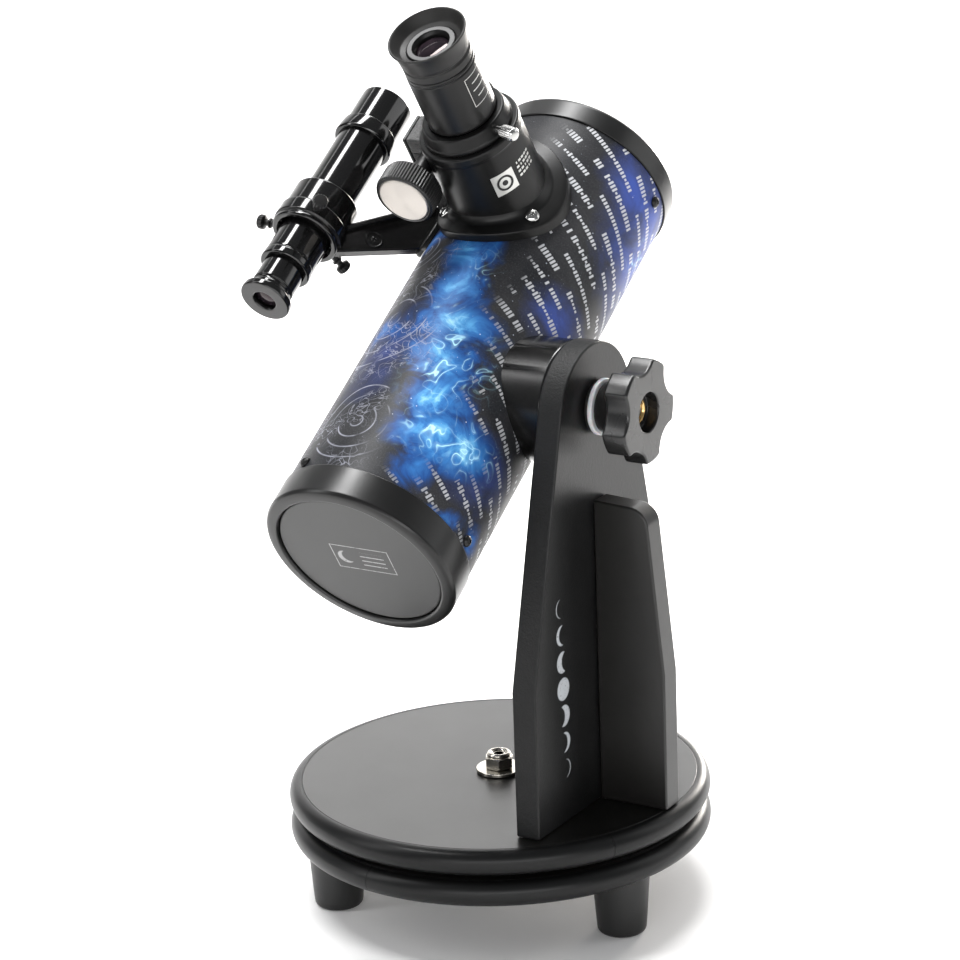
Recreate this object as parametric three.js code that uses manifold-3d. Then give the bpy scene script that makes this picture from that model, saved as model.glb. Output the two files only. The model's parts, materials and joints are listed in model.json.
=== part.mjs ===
// Tabletop Newtonian reflector on a one-arm rocker: 76 mm mirror, 300 mm focal length.
// Millimetres, Z up, feet on z = 0. X runs along the altitude axle towards its knob, and the
// tube points to +Y and upwards.
import * as THREE from "three";
import { mergeVertices } from "three/addons/utils/BufferGeometryUtils.js";
import Module from "manifold-3d";

const wasm = await Module();
wasm.setup();

const GAP = 0.3; // clearance between pieces that touch
const ROUND = 40; // sides of a large turned piece
const FINE = 24; // sides of a middling turned piece
const SMALL = 12; // sides of a screw or pin

// Base
const BOARD_R = 105;
const BOARD_T = 12.7;
const BOARD_GAP = 3.2;
const FOOT_H = 31.8;
const FOOT_R = 12;
const FOOT_CIRCLE = 84.2;
const FOOT_ANGLES = [103.9, 223.9, 343.9];
const PAD_CIRCLE = 74;
const PAD_R = 10;
const TRIM_R = BOARD_R - BOARD_T / 2;
const LOWER_Z = FOOT_H;
const UPPER_Z = FOOT_H + BOARD_T + BOARD_GAP;
const TOP_Z = UPPER_Z + BOARD_T;
const BOLT_R = 4;
const BOLT_HOLE = 4.4;
const HEX_ACROSS = 13;

// Arm and brace
const ARM_X = 50.45;
const ARM_T = 12.7;
const ARM_HALF = 65.6;
const ARM_KINK_Z = 133.5;
const ARM_TOP_R = 34.5;
const ARM_TOP_Z = 254.3;
const ARM_OUT = ARM_X + ARM_T;
const BRACE_OUT = 99.9;
const BRACE_IN_TOP = 92.6;
const BRACE_TOP_Z = 212;
const BRACE_CORNER = 10;

// Altitude axis
const AXIS_Y = -3.7;
const AXIS_Z = 258;
const TUBE_X = -12.9;
const TUBE_TILT = 32.5;
const HUB_R = 30;
const KNOB_R = 25.3;
const KNOB_VALLEY = 19.8;
const KNOB_LOBES = 5;
const KNOB_SCALLOP_R = 14.4;
const KNOB_PHASE = -12.5;
const KNOB_FACE = 91.4;
const KNOB_T = 12.5;

// Optical tube, along its own Y with the altitude axis at 0
const TUBE_R = 48;
const TUBE_WALL = 1.2;
const RING_R = 48.9;
const REAR_END = -111.9;
const REAR_EDGE = -94.1;
const FRONT_END = 153.6;
const FRONT_EDGE = 140.9;
const SKIRT_R = TUBE_R - TUBE_WALL - GAP;
const MIRROR_R = 38;
const FOCAL = 300;
const MIRROR_BACK = -103.7;
const CELL_SCREW_Y = -90;
const FRONT_SCREW_Y = 134.3;
const RING_SCREW_ANGLES = [30, 150, 270];
const SPIDER_Y = 128;
const SECONDARY_R = 10.5;

// Focuser, along its own Z above the tube axis
const FOCUS_Y = 86;
const FOCUS_TURN = 1.9; // leans towards the finder, round the tube
const BODY_R = 24.8;
const BODY_TOP = 92.7;
const FLANGE_X = 33.5;
const FLANGE_Y = 34;
const FLANGE_TOP = 53;
const DRAW_R = 17.8;
const DRAW_COLLAR_R = 22.6;
const DRAW_BORE = 16.1;
const COLLAR_TOP = 101;
const SHAFT_X = -22.9;
const SHAFT_Z = 78.8;
const HOUSING_OUT = -35.1;
const HOUSING_HALF = 8.8;
const HOUSING_LOW = 44;
const HOUSING_TOP = 89.2;
const FOCUS_KNOB_R = 15.3;
const FOCUS_KNOB_IN = 26.5;
const FOCUS_KNOB_OUT = 39;
const FOCUS_BOSS_R = 5;
const CAP_R = 13;
const PINION_TEETH = 10;
const PINION_PITCH_R = 4;
const EYEPIECE_SCREW_ANGLE = -16;
const EYEPIECE_SCREW_Z = 97;
const FLANGE_SCREW_R = 27.8;
const FLANGE_SCREW_ANGLES = [-28, 92, 212];

// Eyepiece
const EYEPIECE_R = 17.3;
const BARREL_R = 15.8;
const BARREL_L = 25;
const EYEPIECE_SHOULDER = 134;
const EYECUP_TOP = 151;
const EYECUP_R = 19.6;

// Finder, in a frame turned to its side of the tube: Y along the tube, Z outward
const FINDER_ANGLE = 50;
const FINDER_Z = 101.6;
const FINDER_R = 12.8;
const RING_BORE = 14.6;
const FINDER_RING_R = 18.1;
const FINDER_SCREW_Y = 33;
const FINDER_SCREW_ANGLES = [86, 206, 326];
const BRACKET_SCREW_Y = 46.4;
const BRACKET_SCREW_Z = 72.2;

const radians = THREE.MathUtils.degToRad;

// ---- geometry helpers ----

// Joins shared corners, drops empty triangles and turns the faces outwards.
function weld(source) {
  const geometry = source.clone();
  geometry.deleteAttribute("normal");
  geometry.deleteAttribute("uv");
  const merged = mergeVertices(geometry, 1e-4);
  const index = Array.from(merged.index.array);
  const position = merged.attributes.position;
  const [a, b, c] = [new THREE.Vector3(), new THREE.Vector3(), new THREE.Vector3()];
  const kept = [];
  let volume = 0;
  for (let i = 0; i < index.length; i += 3) {
    const [p, q, r] = index.slice(i, i + 3);
    if (p === q || q === r || r === p) continue;
    kept.push(p, q, r);
    a.fromBufferAttribute(position, p);
    b.fromBufferAttribute(position, q);
    c.fromBufferAttribute(position, r);
    volume += a.dot(b.cross(c));
  }
  if (volume < 0) kept.reverse();
  merged.setIndex(kept);
  merged.computeVertexNormals();
  return merged;
}

function toSolid(geometry) {
  const welded = weld(geometry);
  return new wasm.Manifold(new wasm.Mesh({
    numProp: 3,
    vertProperties: new Float32Array(welded.attributes.position.array),
    triVerts: new Uint32Array(welded.index.array),
  }));
}

function fromSolid(solid) {
  const result = solid.getMesh();
  const geometry = new THREE.BufferGeometry();
  geometry.setAttribute("position", new THREE.BufferAttribute(result.vertProperties, 3));
  geometry.setIndex(new THREE.BufferAttribute(result.triVerts, 1));
  geometry.computeVertexNormals();
  return geometry;
}

const fuse = (first, ...rest) =>
  fromSolid(rest.reduce((solid, next) => solid.add(toSolid(next)), toSolid(first)));

const cut = (first, ...rest) =>
  fromSolid(rest.reduce((solid, next) => solid.subtract(toSolid(next)), toSolid(first)));

const overlap = (first, second) => fromSolid(toSolid(first).intersect(toSolid(second)));

// Turns a geometry made about Y so that it stands on another axis.
function alongAxis(geometry, axis) {
  if (axis === "x") geometry.rotateZ(-Math.PI / 2);
  if (axis === "z") geometry.rotateX(Math.PI / 2);
  return geometry;
}

// A turned piece from a profile of [radius, height] pairs, closed on itself or on the axis.
function turned(profile, axis, sides = FINE) {
  const points = profile.map(([r, h]) => new THREE.Vector2(r, h));
  if (profile[0][0] > 0) points.push(points[0].clone());
  return weld(alongAxis(new THREE.LatheGeometry(points, sides), axis));
}

const pin = (r, from, to, axis, sides = FINE) =>
  turned([[0, from], [r, from], [r, to], [0, to]], axis, sides);

const ring = (inner, outer, from, to, axis, sides = FINE) =>
  turned([[inner, from], [outer, from], [outer, to], [inner, to]], axis, sides);

function box(x0, x1, y0, y1, z0, z1) {
  const geometry = new THREE.BoxGeometry(x1 - x0, y1 - y0, z1 - z0);
  geometry.translate((x0 + x1) / 2, (y0 + y1) / 2, (z0 + z1) / 2);
  return geometry;
}

function outline(points) {
  return new THREE.Shape(points.map(([x, y]) => new THREE.Vector2(x, y)));
}

function slab(shape, depth, bevel = 0) {
  return new THREE.ExtrudeGeometry(shape, {
    depth: depth - 2 * bevel,
    bevelEnabled: bevel > 0,
    bevelThickness: bevel,
    bevelSize: bevel,
    bevelOffset: -bevel,
    bevelSegments: 2,
    curveSegments: 12,
  }).translate(0, 0, bevel);
}

// A slab drawn in the Y-Z plane and thick along X.
function slabOnX(shape, depth) {
  const turn = new THREE.Matrix4().set(0, 0, 1, 0, 1, 0, 0, 0, 0, 1, 0, 0, 0, 0, 0, 1);
  return slab(shape, depth).applyMatrix4(turn);
}

// ---- materials ----

function finish(name, color, roughness, metalness) {
  const material = new THREE.MeshStandardMaterial({ color, roughness, metalness });
  material.name = name;
  return material;
}

const satinBoard = () => finish("satin_board", 0x23252a, 0.42, 0);
const edgeVinyl = () => finish("edge_vinyl", 0x17181b, 0.35, 0);
const blackPlastic = () => finish("black_plastic", 0x1b1c1f, 0.45, 0);
const glossPlastic = () => finish("gloss_plastic", 0x0f1012, 0.15, 0);
const printedTube = () => finish("printed_tube", 0x2a3f6e, 0.35, 0);
const blackMetal = () => finish("black_metal", 0x1a1b1d, 0.4, 0.2);
const chrome = () => finish("chrome", 0xd8d8d6, 0.12, 1);
const nickel = () => finish("nickel", 0xc9c4b6, 0.25, 1);
const brushed = () => finish("brushed_steel", 0xd9d3cd, 0.35, 1);
const brass = () => finish("brass", 0xb98b45, 0.3, 1);
const nylon = () => finish("nylon", 0xc9c8c4, 0.5, 0);
const rubber = () => finish("rubber", 0x1d1b1b, 0.8, 0);
const glass = () => finish("glass", 0x6d6a74, 0.05, 0);
const mirror = () => finish("mirror", 0xe6ebf0, 0.03, 1);
const greyCover = () => finish("grey_cover", 0x6a6a6b, 0.35, 0);

function piece(name, geometry, material) {
  const mesh = new THREE.Mesh(weld(geometry), material);
  mesh.name = name;
  return mesh;
}

function group(...children) {
  const result = new THREE.Group();
  result.add(...children);
  return result;
}

// ---- base ----

function board(name, z) {
  const disc = ring(BOLT_HOLE, TRIM_R - GAP, z, z + BOARD_T, "z", ROUND);
  return piece(name, disc, satinBoard());
}

// The half-round moulding pressed on the edge of a board.
function boardTrim(name, z) {
  const profile = [[TRIM_R, z + BOARD_T], [TRIM_R, z]];
  for (let i = 1; i <= 7; i += 1) {
    const angle = Math.PI * (i / 8 - 0.5);
    const middle = z + BOARD_T / 2;
    profile.push([TRIM_R + (BOARD_T / 2) * Math.cos(angle), middle + (BOARD_T / 2) * Math.sin(angle)]);
  }
  return piece(name, turned(profile, "z", ROUND), edgeVinyl());
}

// Moves a piece out from the azimuth axis by a radius at an angle.
function outFrom(geometry, radius, angle) {
  return geometry.translate(radius * Math.cos(radians(angle)), radius * Math.sin(radians(angle)), 0);
}

function foot(name, angle) {
  const top = FOOT_H - GAP;
  const profile = [
    [0, 0], [FOOT_R - 1.8, 0], [FOOT_R - 0.5, 0.6], [FOOT_R, 2], [FOOT_R + 2.2, top], [0, top],
  ];
  return piece(name, outFrom(turned(profile, "z"), FOOT_CIRCLE, angle), blackPlastic());
}

function glidePad(name, angle) {
  const pad = pin(PAD_R, LOWER_Z + BOARD_T + GAP, UPPER_Z - GAP, "z");
  return piece(name, outFrom(pad, PAD_CIRCLE, angle), nylon());
}

const hexagon = (across, from, to) => pin(across / Math.sqrt(3), from, to, "z", 6);

const NUT_SEAT = TOP_Z + GAP + 1.8 + GAP;

// The bolt comes up through both boards from a head under the ground board.
function azimuthBolt() {
  const head = hexagon(HEX_ACROSS, LOWER_Z - GAP - 5.3, LOWER_Z - GAP);
  const end = NUT_SEAT + 6.8;
  const profile = [[0, LOWER_Z - 2], [BOLT_R, LOWER_Z - 2], [BOLT_R, end - 0.8], [3.2, end], [0, end]];
  return piece("azimuth_bolt", fuse(head, turned(profile, "z", SMALL)), nickel());
}

function azimuthWasher() {
  return piece("azimuth_washer", ring(BOLT_HOLE, 11.5, TOP_Z + GAP, NUT_SEAT - GAP, "z"), nickel());
}

function azimuthNut() {
  const hex = hexagon(HEX_ACROSS, NUT_SEAT, NUT_SEAT + 5.6);
  const top = NUT_SEAT + 8;
  const collar = turned([[0, top - 3], [6.1, top - 3], [6.1, top - 0.6], [5.5, top], [0, top]], "z", SMALL);
  const bore = pin(BOLT_HOLE, NUT_SEAT - 2, top + 2, "z", SMALL);
  return piece("azimuth_lock_nut", cut(fuse(hex, collar), bore), nickel());
}

// ---- arm and brace ----

function armPanel() {
  const shape = new THREE.Shape();
  const foot = TOP_Z + GAP;
  const dy = ARM_HALF;
  const dz = ARM_TOP_Z - ARM_KINK_Z;
  const reach = Math.hypot(dy, dz);
  const side = Math.atan2(-dz, dy) + Math.acos(ARM_TOP_R / reach);
  shape.moveTo(AXIS_Y - ARM_HALF, foot);
  shape.lineTo(AXIS_Y + ARM_HALF, foot);
  shape.lineTo(AXIS_Y + ARM_HALF, ARM_KINK_Z);
  shape.absarc(AXIS_Y, ARM_TOP_Z, ARM_TOP_R, side, Math.PI - side, false);
  shape.lineTo(AXIS_Y - ARM_HALF, ARM_KINK_Z);
  shape.closePath();
  const hole = new THREE.Path();
  hole.absarc(AXIS_Y, AXIS_Z, BOLT_HOLE, 0, 2 * Math.PI, true);
  shape.holes.push(hole);
  const geometry = slabOnX(shape, ARM_T);
  geometry.translate(ARM_X, 0, 0);
  return piece("arm_panel", geometry, satinBoard());
}

// The rib that stands square to the arm on its outer side.
function bracePanel() {
  const inner = ARM_OUT + GAP;
  const lean = Math.atan2(BRACE_OUT - BRACE_IN_TOP, BRACE_TOP_Z - 130);
  const shape = new THREE.Shape();
  shape.moveTo(inner, TOP_Z + GAP);
  shape.lineTo(BRACE_OUT, TOP_Z + GAP);
  shape.lineTo(BRACE_OUT, 130);
  const [cornerX, cornerZ] = [BRACE_IN_TOP - BRACE_CORNER, BRACE_TOP_Z - BRACE_CORNER];
  shape.absarc(cornerX, cornerZ, BRACE_CORNER, lean, Math.PI / 2, false);
  shape.lineTo(inner, BRACE_TOP_Z + 1);
  shape.closePath();
  const geometry = slab(shape, BOARD_T);
  geometry.rotateX(Math.PI / 2);
  geometry.translate(0, AXIS_Y + BOARD_T / 2, 0);
  return piece("brace_panel", geometry, satinBoard());
}

// ---- altitude axle, in the frame of the tube ----

const HUB_FACE = ARM_X - TUBE_X - GAP;
const AXLE_ARM = ARM_OUT - TUBE_X;
const AXLE_FACE = KNOB_FACE - TUBE_X;

function altitudeHub() {
  const profile = [[0, 30], [HUB_R, 30], [HUB_R, HUB_FACE - 1], [HUB_R - 1, HUB_FACE], [0, HUB_FACE]];
  const drum = turned(profile, "x", ROUND);
  const saddle = pin(TUBE_R + GAP, -60, 60, "y", ROUND);
  const bore = pin(BOLT_HOLE, 20, HUB_FACE + 5, "x", SMALL);
  const pocket = pin(8, 20, TUBE_R + 6, "x");
  return piece("altitude_hub", cut(drum, saddle, bore, pocket), blackPlastic());
}

function altitudeBolt() {
  const head = TUBE_R + 6 - GAP;
  const end = AXLE_FACE - 5.5;
  const profile = [[0, head - 4.5], [7, head - 4.5], [7, head], [BOLT_R, head], [BOLT_R, end], [0, end]];
  return piece("altitude_bolt", turned(profile, "x", SMALL), nickel());
}

// A dark friction disc against the arm, then the pale washer under the knob.
const SPACER_OUT = AXLE_ARM + GAP + 1.7;
const WASHER_OUT = SPACER_OUT + GAP + 2.4;

function altitudeSpacer() {
  return piece("altitude_spacer", ring(BOLT_HOLE, 12.6, AXLE_ARM + GAP, SPACER_OUT, "x"), rubber());
}

function altitudeWasher() {
  return piece("altitude_washer", ring(BOLT_HOLE, 13.6, SPACER_OUT + GAP, WASHER_OUT, "x"), nylon());
}

// Outline radius at an angle from the middle of a lobe: a circle with a hollow between lobes.
function knobRadius(angle) {
  const share = Math.PI / KNOB_LOBES;
  const off = share - Math.abs(angle);
  const middle = KNOB_VALLEY + KNOB_SCALLOP_R;
  const side = middle * Math.sin(off);
  if (Math.abs(side) >= KNOB_SCALLOP_R) return KNOB_R;
  return Math.min(KNOB_R, middle * Math.cos(off) - Math.sqrt(KNOB_SCALLOP_R ** 2 - side ** 2));
}

function altitudeKnob() {
  const points = [];
  for (let lobe = 0; lobe < KNOB_LOBES; lobe += 1) {
    for (let i = -7; i < 7; i += 1) {
      const off = (i / 7) * (Math.PI / KNOB_LOBES);
      const angle = radians(180 - KNOB_PHASE) + (2 * Math.PI * lobe) / KNOB_LOBES + off;
      points.push([knobRadius(off) * Math.cos(angle), knobRadius(off) * Math.sin(angle)]);
    }
  }
  const body = slab(outline(points), KNOB_T, 1.2);
  body.rotateY(Math.PI / 2);
  body.translate(AXLE_FACE - KNOB_T, 0, 0);
  const near = WASHER_OUT + GAP;
  const back = AXLE_FACE - KNOB_T + 1;
  const neck = turned([[0, near], [12, near], [14, back], [0, back]], "x");
  const bore = pin(6.5, AXLE_FACE - 14, AXLE_FACE + 1, "x");
  const recess = pin(9.6, AXLE_FACE - 6, AXLE_FACE + 1, "x");
  const hole = pin(BOLT_HOLE, 60, AXLE_FACE + 1, "x", SMALL);
  return piece("altitude_knob", cut(fuse(body, neck), bore, recess, hole), blackPlastic());
}

function knobInsert() {
  const insert = ring(BOLT_HOLE, 6.2, AXLE_FACE - 13.7, AXLE_FACE - 4.5, "x", SMALL);
  return piece("knob_insert", insert, brass());
}

// ---- optical tube ----

// Moves a piece made on +Z of the tube round to an angle from the top.
function aroundTube(geometry, y, angle) {
  geometry.translate(0, y, 0);
  geometry.rotateY(radians(-angle));
  return geometry;
}

function screwHoles(y, r) {
  return RING_SCREW_ANGLES.map((angle) => aroundTube(pin(r, SKIRT_R - 5, RING_R + 3, "z", 8), y, angle));
}

function tubeShell() {
  const shell = ring(TUBE_R - TUBE_WALL, TUBE_R, REAR_EDGE + GAP, FRONT_EDGE - GAP, "y", ROUND);
  const port = pin(DRAW_R + 1, 20, 60, "z").translate(0, FOCUS_Y, 0).rotateY(radians(-FOCUS_TURN));
  const holes = [...screwHoles(CELL_SCREW_Y, 1.8), ...screwHoles(FRONT_SCREW_Y, 1.8)];
  return piece("tube_shell", cut(shell, port, ...holes), printedTube());
}

function frontRing() {
  const profile = [
    [43.2, 129.5], [SKIRT_R, 129.5], [SKIRT_R, FRONT_EDGE], [RING_R, FRONT_EDGE],
    [RING_R, FRONT_END - 1.4], [RING_R - 1.4, FRONT_END], [43.8, FRONT_END], [43.2, FRONT_END - 0.6],
  ];
  const body = cut(turned(profile, "y", ROUND), ...screwHoles(FRONT_SCREW_Y, 1.8));
  return piece("front_ring", body, blackPlastic());
}

function mirrorCell() {
  const profile = [
    [42.2, REAR_END], [RING_R - 1.4, REAR_END], [RING_R, REAR_END + 1.4], [RING_R, REAR_EDGE],
    [SKIRT_R, REAR_EDGE], [SKIRT_R, -84], [44.2, -84], [44.2, -94.4], [MIRROR_R + GAP, -95.2],
    [MIRROR_R + GAP, MIRROR_BACK - GAP], [30, MIRROR_BACK - GAP], [30, -107.2], [42.2, -107.2],
  ];
  const body = cut(turned(profile, "y", ROUND), ...screwHoles(CELL_SCREW_Y, 1.8));
  return piece("mirror_cell", body, blackPlastic());
}

function ringScrew(name, y, angle) {
  const seat = RING_R - 0.6;
  const profile = [
    [0, SKIRT_R - 3], [1.4, SKIRT_R - 3], [1.4, seat], [2.7, seat],
    [2.5, seat + 1.2], [1.4, seat + 1.9], [0, seat + 1.9],
  ];
  return piece(name, aroundTube(turned(profile, "z", SMALL), y, angle), blackMetal());
}

function primaryMirror() {
  const profile = [[0, MIRROR_BACK], [MIRROR_R, MIRROR_BACK], [MIRROR_R, MIRROR_BACK + 8.8]];
  const vertex = MIRROR_BACK + 8;
  for (const r of [37.4, 30, 22, 14, 7, 0]) {
    profile.push([r, vertex + (r * r) / (4 * FOCAL)]);
  }
  return piece("primary_mirror", turned(profile, "y", ROUND), mirror());
}

function rearCover() {
  const profile = [
    [0, REAR_END + 1], [41.4, REAR_END + 1], [41.9, REAR_END + 1.5], [41.9, -107.5], [0, -107.5],
  ];
  return piece("rear_cover", turned(profile, "y", ROUND), greyCover());
}

function spider() {
  const [low, high] = [SPIDER_Y - 5, SPIDER_Y + 8];
  const hub = turned([[0, low], [9, low], [9, high - 2], [8, high], [0, high]], "y");
  const vanes = [30, 150, 270].map((angle) => {
    const vane = box(-0.6, 0.6, SPIDER_Y + 2, SPIDER_Y + 9, 6, 43.2 - GAP);
    return vane.rotateY(radians(60 - angle));
  });
  const socket = pin(3.4, SPIDER_Y - 8, SPIDER_Y + 1, "y", SMALL);
  return piece("spider", cut(fuse(hub, ...vanes), socket), blackMetal());
}

// The stalk and its slanted end, which carries the diagonal mirror.
function secondaryHolder() {
  const stalk = pin(3, FOCUS_Y + 5, SPIDER_Y, "y", SMALL);
  const block = pin(SECONDARY_R - 0.6, FOCUS_Y - 20, SPIDER_Y - 10, "y");
  const slope = box(-30, 30, -60, 3 + GAP, -40, 40).rotateX(-Math.PI / 4).translate(0, FOCUS_Y, 0);
  return piece("secondary_holder", fuse(cut(block, slope), stalk), blackPlastic());
}

function secondaryMirror() {
  const shape = new THREE.Shape();
  shape.absellipse(0, 0, SECONDARY_R, SECONDARY_R * Math.SQRT2, 0, 2 * Math.PI, false, 0);
  const geometry = slab(shape, 3);
  geometry.rotateX(-Math.PI / 2);
  geometry.rotateX(-Math.PI / 4);
  geometry.rotateX(Math.PI);
  geometry.translate(0, FOCUS_Y, 0);
  return piece("secondary_mirror", geometry, mirror());
}

// ---- focuser, in a frame at FOCUS_Y on the tube ----

function focuserBody() {
  const oval = new THREE.Shape();
  oval.absellipse(0, 0, FLANGE_X, FLANGE_Y, 0, 2 * Math.PI, false, 0);
  const plate = slab(oval, 40).translate(0, 0, 25);
  const flange = overlap(plate, pin(FLANGE_TOP, -50, 50, "y", ROUND));
  const profile = [
    [0, 30], [BODY_R, 30], [BODY_R, 88], [BODY_R + 0.5, 88.8], [BODY_R + 0.5, 92],
    [BODY_R - 0.2, BODY_TOP], [0, BODY_TOP],
  ];
  const barrel = turned(profile, "z", ROUND);
  const housing = pinionBlock(HOUSING_OUT + 1.6 + GAP, -14);
  const saddle = pin(TUBE_R + GAP, -60, 60, "y", ROUND);
  const bore = pin(DRAW_R + 0.5, 20, 100, "z");
  const slot = box(-19.6, -10, -3.6, 3.6, 20, 100);
  const shaft = pin(2.5, -30, 30, "y", SMALL).translate(SHAFT_X, 0, SHAFT_Z);
  const cavity = box(-40, -10, -6.4, 6.4, SHAFT_Z - 4.8, SHAFT_Z + 4.8);
  const clamp = box(-40, SHAFT_X, -30, 30, SHAFT_Z - 2.5, SHAFT_Z + 2.5);
  const reliefs = [-30, HOUSING_HALF].map((from) => (
    pin(FOCUS_BOSS_R + GAP, from, from + 30 - HOUSING_HALF, "y", SMALL).translate(SHAFT_X, 0, SHAFT_Z)
  ));
  const screws = flangeScrewPlaces().map(([x, y]) => flangeScrewHole(x, y));
  const solid = fuse(flange, barrel, housing);
  const body = cut(solid, saddle, bore, slot, shaft, cavity, clamp, ...reliefs, ...screws);
  return piece("focuser_body", body, blackPlastic());
}

// The square block round the pinion, from the flange to the top of the barrel.
function pinionBlock(from, to) {
  return box(from, to, -HOUSING_HALF, HOUSING_HALF, HOUSING_LOW, HOUSING_TOP);
}

function flangeScrewPlaces() {
  const turns = FLANGE_SCREW_ANGLES.map(radians);
  return turns.map((turn) => [FLANGE_SCREW_R * Math.cos(turn), FLANGE_SCREW_R * Math.sin(turn)]);
}

// Stands a piece made on +Z where a screw goes through the flange.
function onFlange(geometry, x, y) {
  const angle = Math.asin(x / FLANGE_TOP);
  geometry.rotateY(angle);
  geometry.translate(0, y, 0);
  return geometry;
}

function flangeScrewHole(x, y) {
  return onFlange(pin(1.9, 44, 56, "z", 8), x, y);
}

function focuserScrew(name, x, y) {
  const seat = FLANGE_TOP + GAP;
  const profile = [
    [0, TUBE_R + 0.5], [1.5, TUBE_R + 0.5], [1.5, seat], [2.7, seat],
    [2.5, seat + 1.4], [1.3, seat + 2.1], [0, seat + 2.1],
  ];
  return piece(name, onFlange(turned(profile, "z", SMALL), x, y), chrome());
}

function pinionCover() {
  return piece("pinion_cover", pinionBlock(HOUSING_OUT, HOUSING_OUT + 1.6), blackPlastic());
}

// Rack teeth from the bottom of the drawtube up, with a gap level with the pinion at rest.
function rackTeeth() {
  const pitch = (2 * Math.PI * PINION_PITCH_R) / PINION_TEETH;
  const teeth = [];
  for (let i = -11; i <= 3; i += 1) {
    const middle = SHAFT_Z + (i + 0.5) * pitch;
    teeth.push(box(-19.1, -17.5, -2.8, 2.8, middle - 0.45, middle + 0.45));
  }
  return teeth;
}

function drawtube() {
  const profile = [
    [DRAW_BORE, 48.6], [DRAW_R, 48.6], [DRAW_R, BODY_TOP + GAP], [DRAW_COLLAR_R, BODY_TOP + GAP],
    [DRAW_COLLAR_R, 95], [20.8, COLLAR_TOP - 0.4], [20.2, COLLAR_TOP], [17.4, COLLAR_TOP],
    [DRAW_BORE, COLLAR_TOP - 1.2],
  ];
  const tube = turned(profile, "z", ROUND);
  const rack = box(-17.9, -16.8, -2.8, 2.8, 49, 90);
  const hole = pin(2.4, 10, 40, "x", SMALL).rotateZ(radians(EYEPIECE_SCREW_ANGLE));
  hole.translate(0, 0, EYEPIECE_SCREW_Z);
  return piece("drawtube", cut(fuse(tube, rack, ...rackTeeth()), hole), blackPlastic());
}

function pinionShaft() {
  const rod = pin(2, -FOCUS_KNOB_OUT + 2.5, FOCUS_KNOB_OUT - 2.5, "y", SMALL);
  const gear = [];
  for (let i = 0; i < 2 * PINION_TEETH; i += 1) {
    const radius = PINION_PITCH_R + (i % 2 ? -0.8 : 0.4);
    const angle = (Math.PI * i) / PINION_TEETH;
    gear.push([radius * Math.cos(angle), radius * Math.sin(angle)]);
  }
  const pinion = slab(outline(gear), 12).rotateX(Math.PI / 2).translate(0, 6, 0);
  return piece("pinion_shaft", fuse(rod, pinion).translate(SHAFT_X, 0, SHAFT_Z), chrome());
}

// A knurled focus knob; side is -1 behind the focuser and 1 in front of it.
function focusKnob(name, side) {
  const ribs = [];
  for (let i = 0; i < 48; i += 1) {
    const radius = FOCUS_KNOB_R - (i % 2 ? 0.5 : 0);
    const angle = (2 * Math.PI * i) / 48;
    ribs.push([radius * Math.cos(angle), radius * Math.sin(angle)]);
  }
  const drum = slab(outline(ribs), FOCUS_KNOB_OUT - FOCUS_KNOB_IN, 0.8).rotateX(-Math.PI / 2);
  drum.translate(0, FOCUS_KNOB_IN, 0);
  const boss = pin(FOCUS_BOSS_R, HOUSING_HALF + GAP, FOCUS_KNOB_IN + 1, "y", SMALL);
  const bore = pin(2 + GAP, 5, FOCUS_KNOB_OUT - 2.2, "y", SMALL);
  const seat = pin(CAP_R + GAP, FOCUS_KNOB_OUT - 1.3, FOCUS_KNOB_OUT + 1, "y");
  const knob = cut(fuse(drum, boss), bore, seat);
  knob.rotateZ(side < 0 ? Math.PI : 0);
  return piece(name, knob.translate(SHAFT_X, 0, SHAFT_Z), blackPlastic());
}

function focusKnobCap(name, side) {
  const low = FOCUS_KNOB_OUT - 1;
  const profile = [[0, low], [CAP_R, low], [CAP_R, low + 1], [CAP_R - 0.5, low + 1.4], [0, low + 1.4]];
  const cap = turned(profile, "y", FINE);
  cap.rotateZ(side < 0 ? Math.PI : 0);
  return piece(name, cap.translate(SHAFT_X, 0, SHAFT_Z), brushed());
}

// Knurled screw along +X, from its tip at 0 to the end of its head.
function thumbscrew(shank, head, shankR, headR) {
  const end = shank + head;
  const profile = [
    [0, 0], [shankR, 0], [shankR, shank], [headR - 0.4, shank], [headR, shank + 0.6],
    [headR, end - 0.8], [headR - 0.7, end], [0, end],
  ];
  return turned(profile, "x", SMALL);
}

function eyepieceScrew() {
  const screw = thumbscrew(9.7, 8.2, 2, 3.5).translate(BARREL_R + GAP, 0, 0);
  screw.rotateZ(radians(EYEPIECE_SCREW_ANGLE)).translate(0, 0, EYEPIECE_SCREW_Z);
  return piece("eyepiece_thumbscrew", screw, chrome());
}

// ---- eyepiece ----

function eyepieceBody() {
  const low = COLLAR_TOP + GAP;
  const end = low - BARREL_L;
  const profile = [
    [13.4, end], [BARREL_R - 0.5, end], [BARREL_R, end + 0.8], [BARREL_R, low],
    [EYEPIECE_R - 0.4, low], [EYEPIECE_R, low + 0.8], [EYEPIECE_R, EYEPIECE_SHOULDER - 0.8],
    [EYEPIECE_R - 0.5, EYEPIECE_SHOULDER], [12, EYEPIECE_SHOULDER], [12, 144.2], [9.6, 144.2],
    [8.4, 143.2], [8.4, 139], [7, 138], [13.4, 128],
  ];
  return piece("eyepiece_body", turned(profile, "z"), blackMetal());
}

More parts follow.
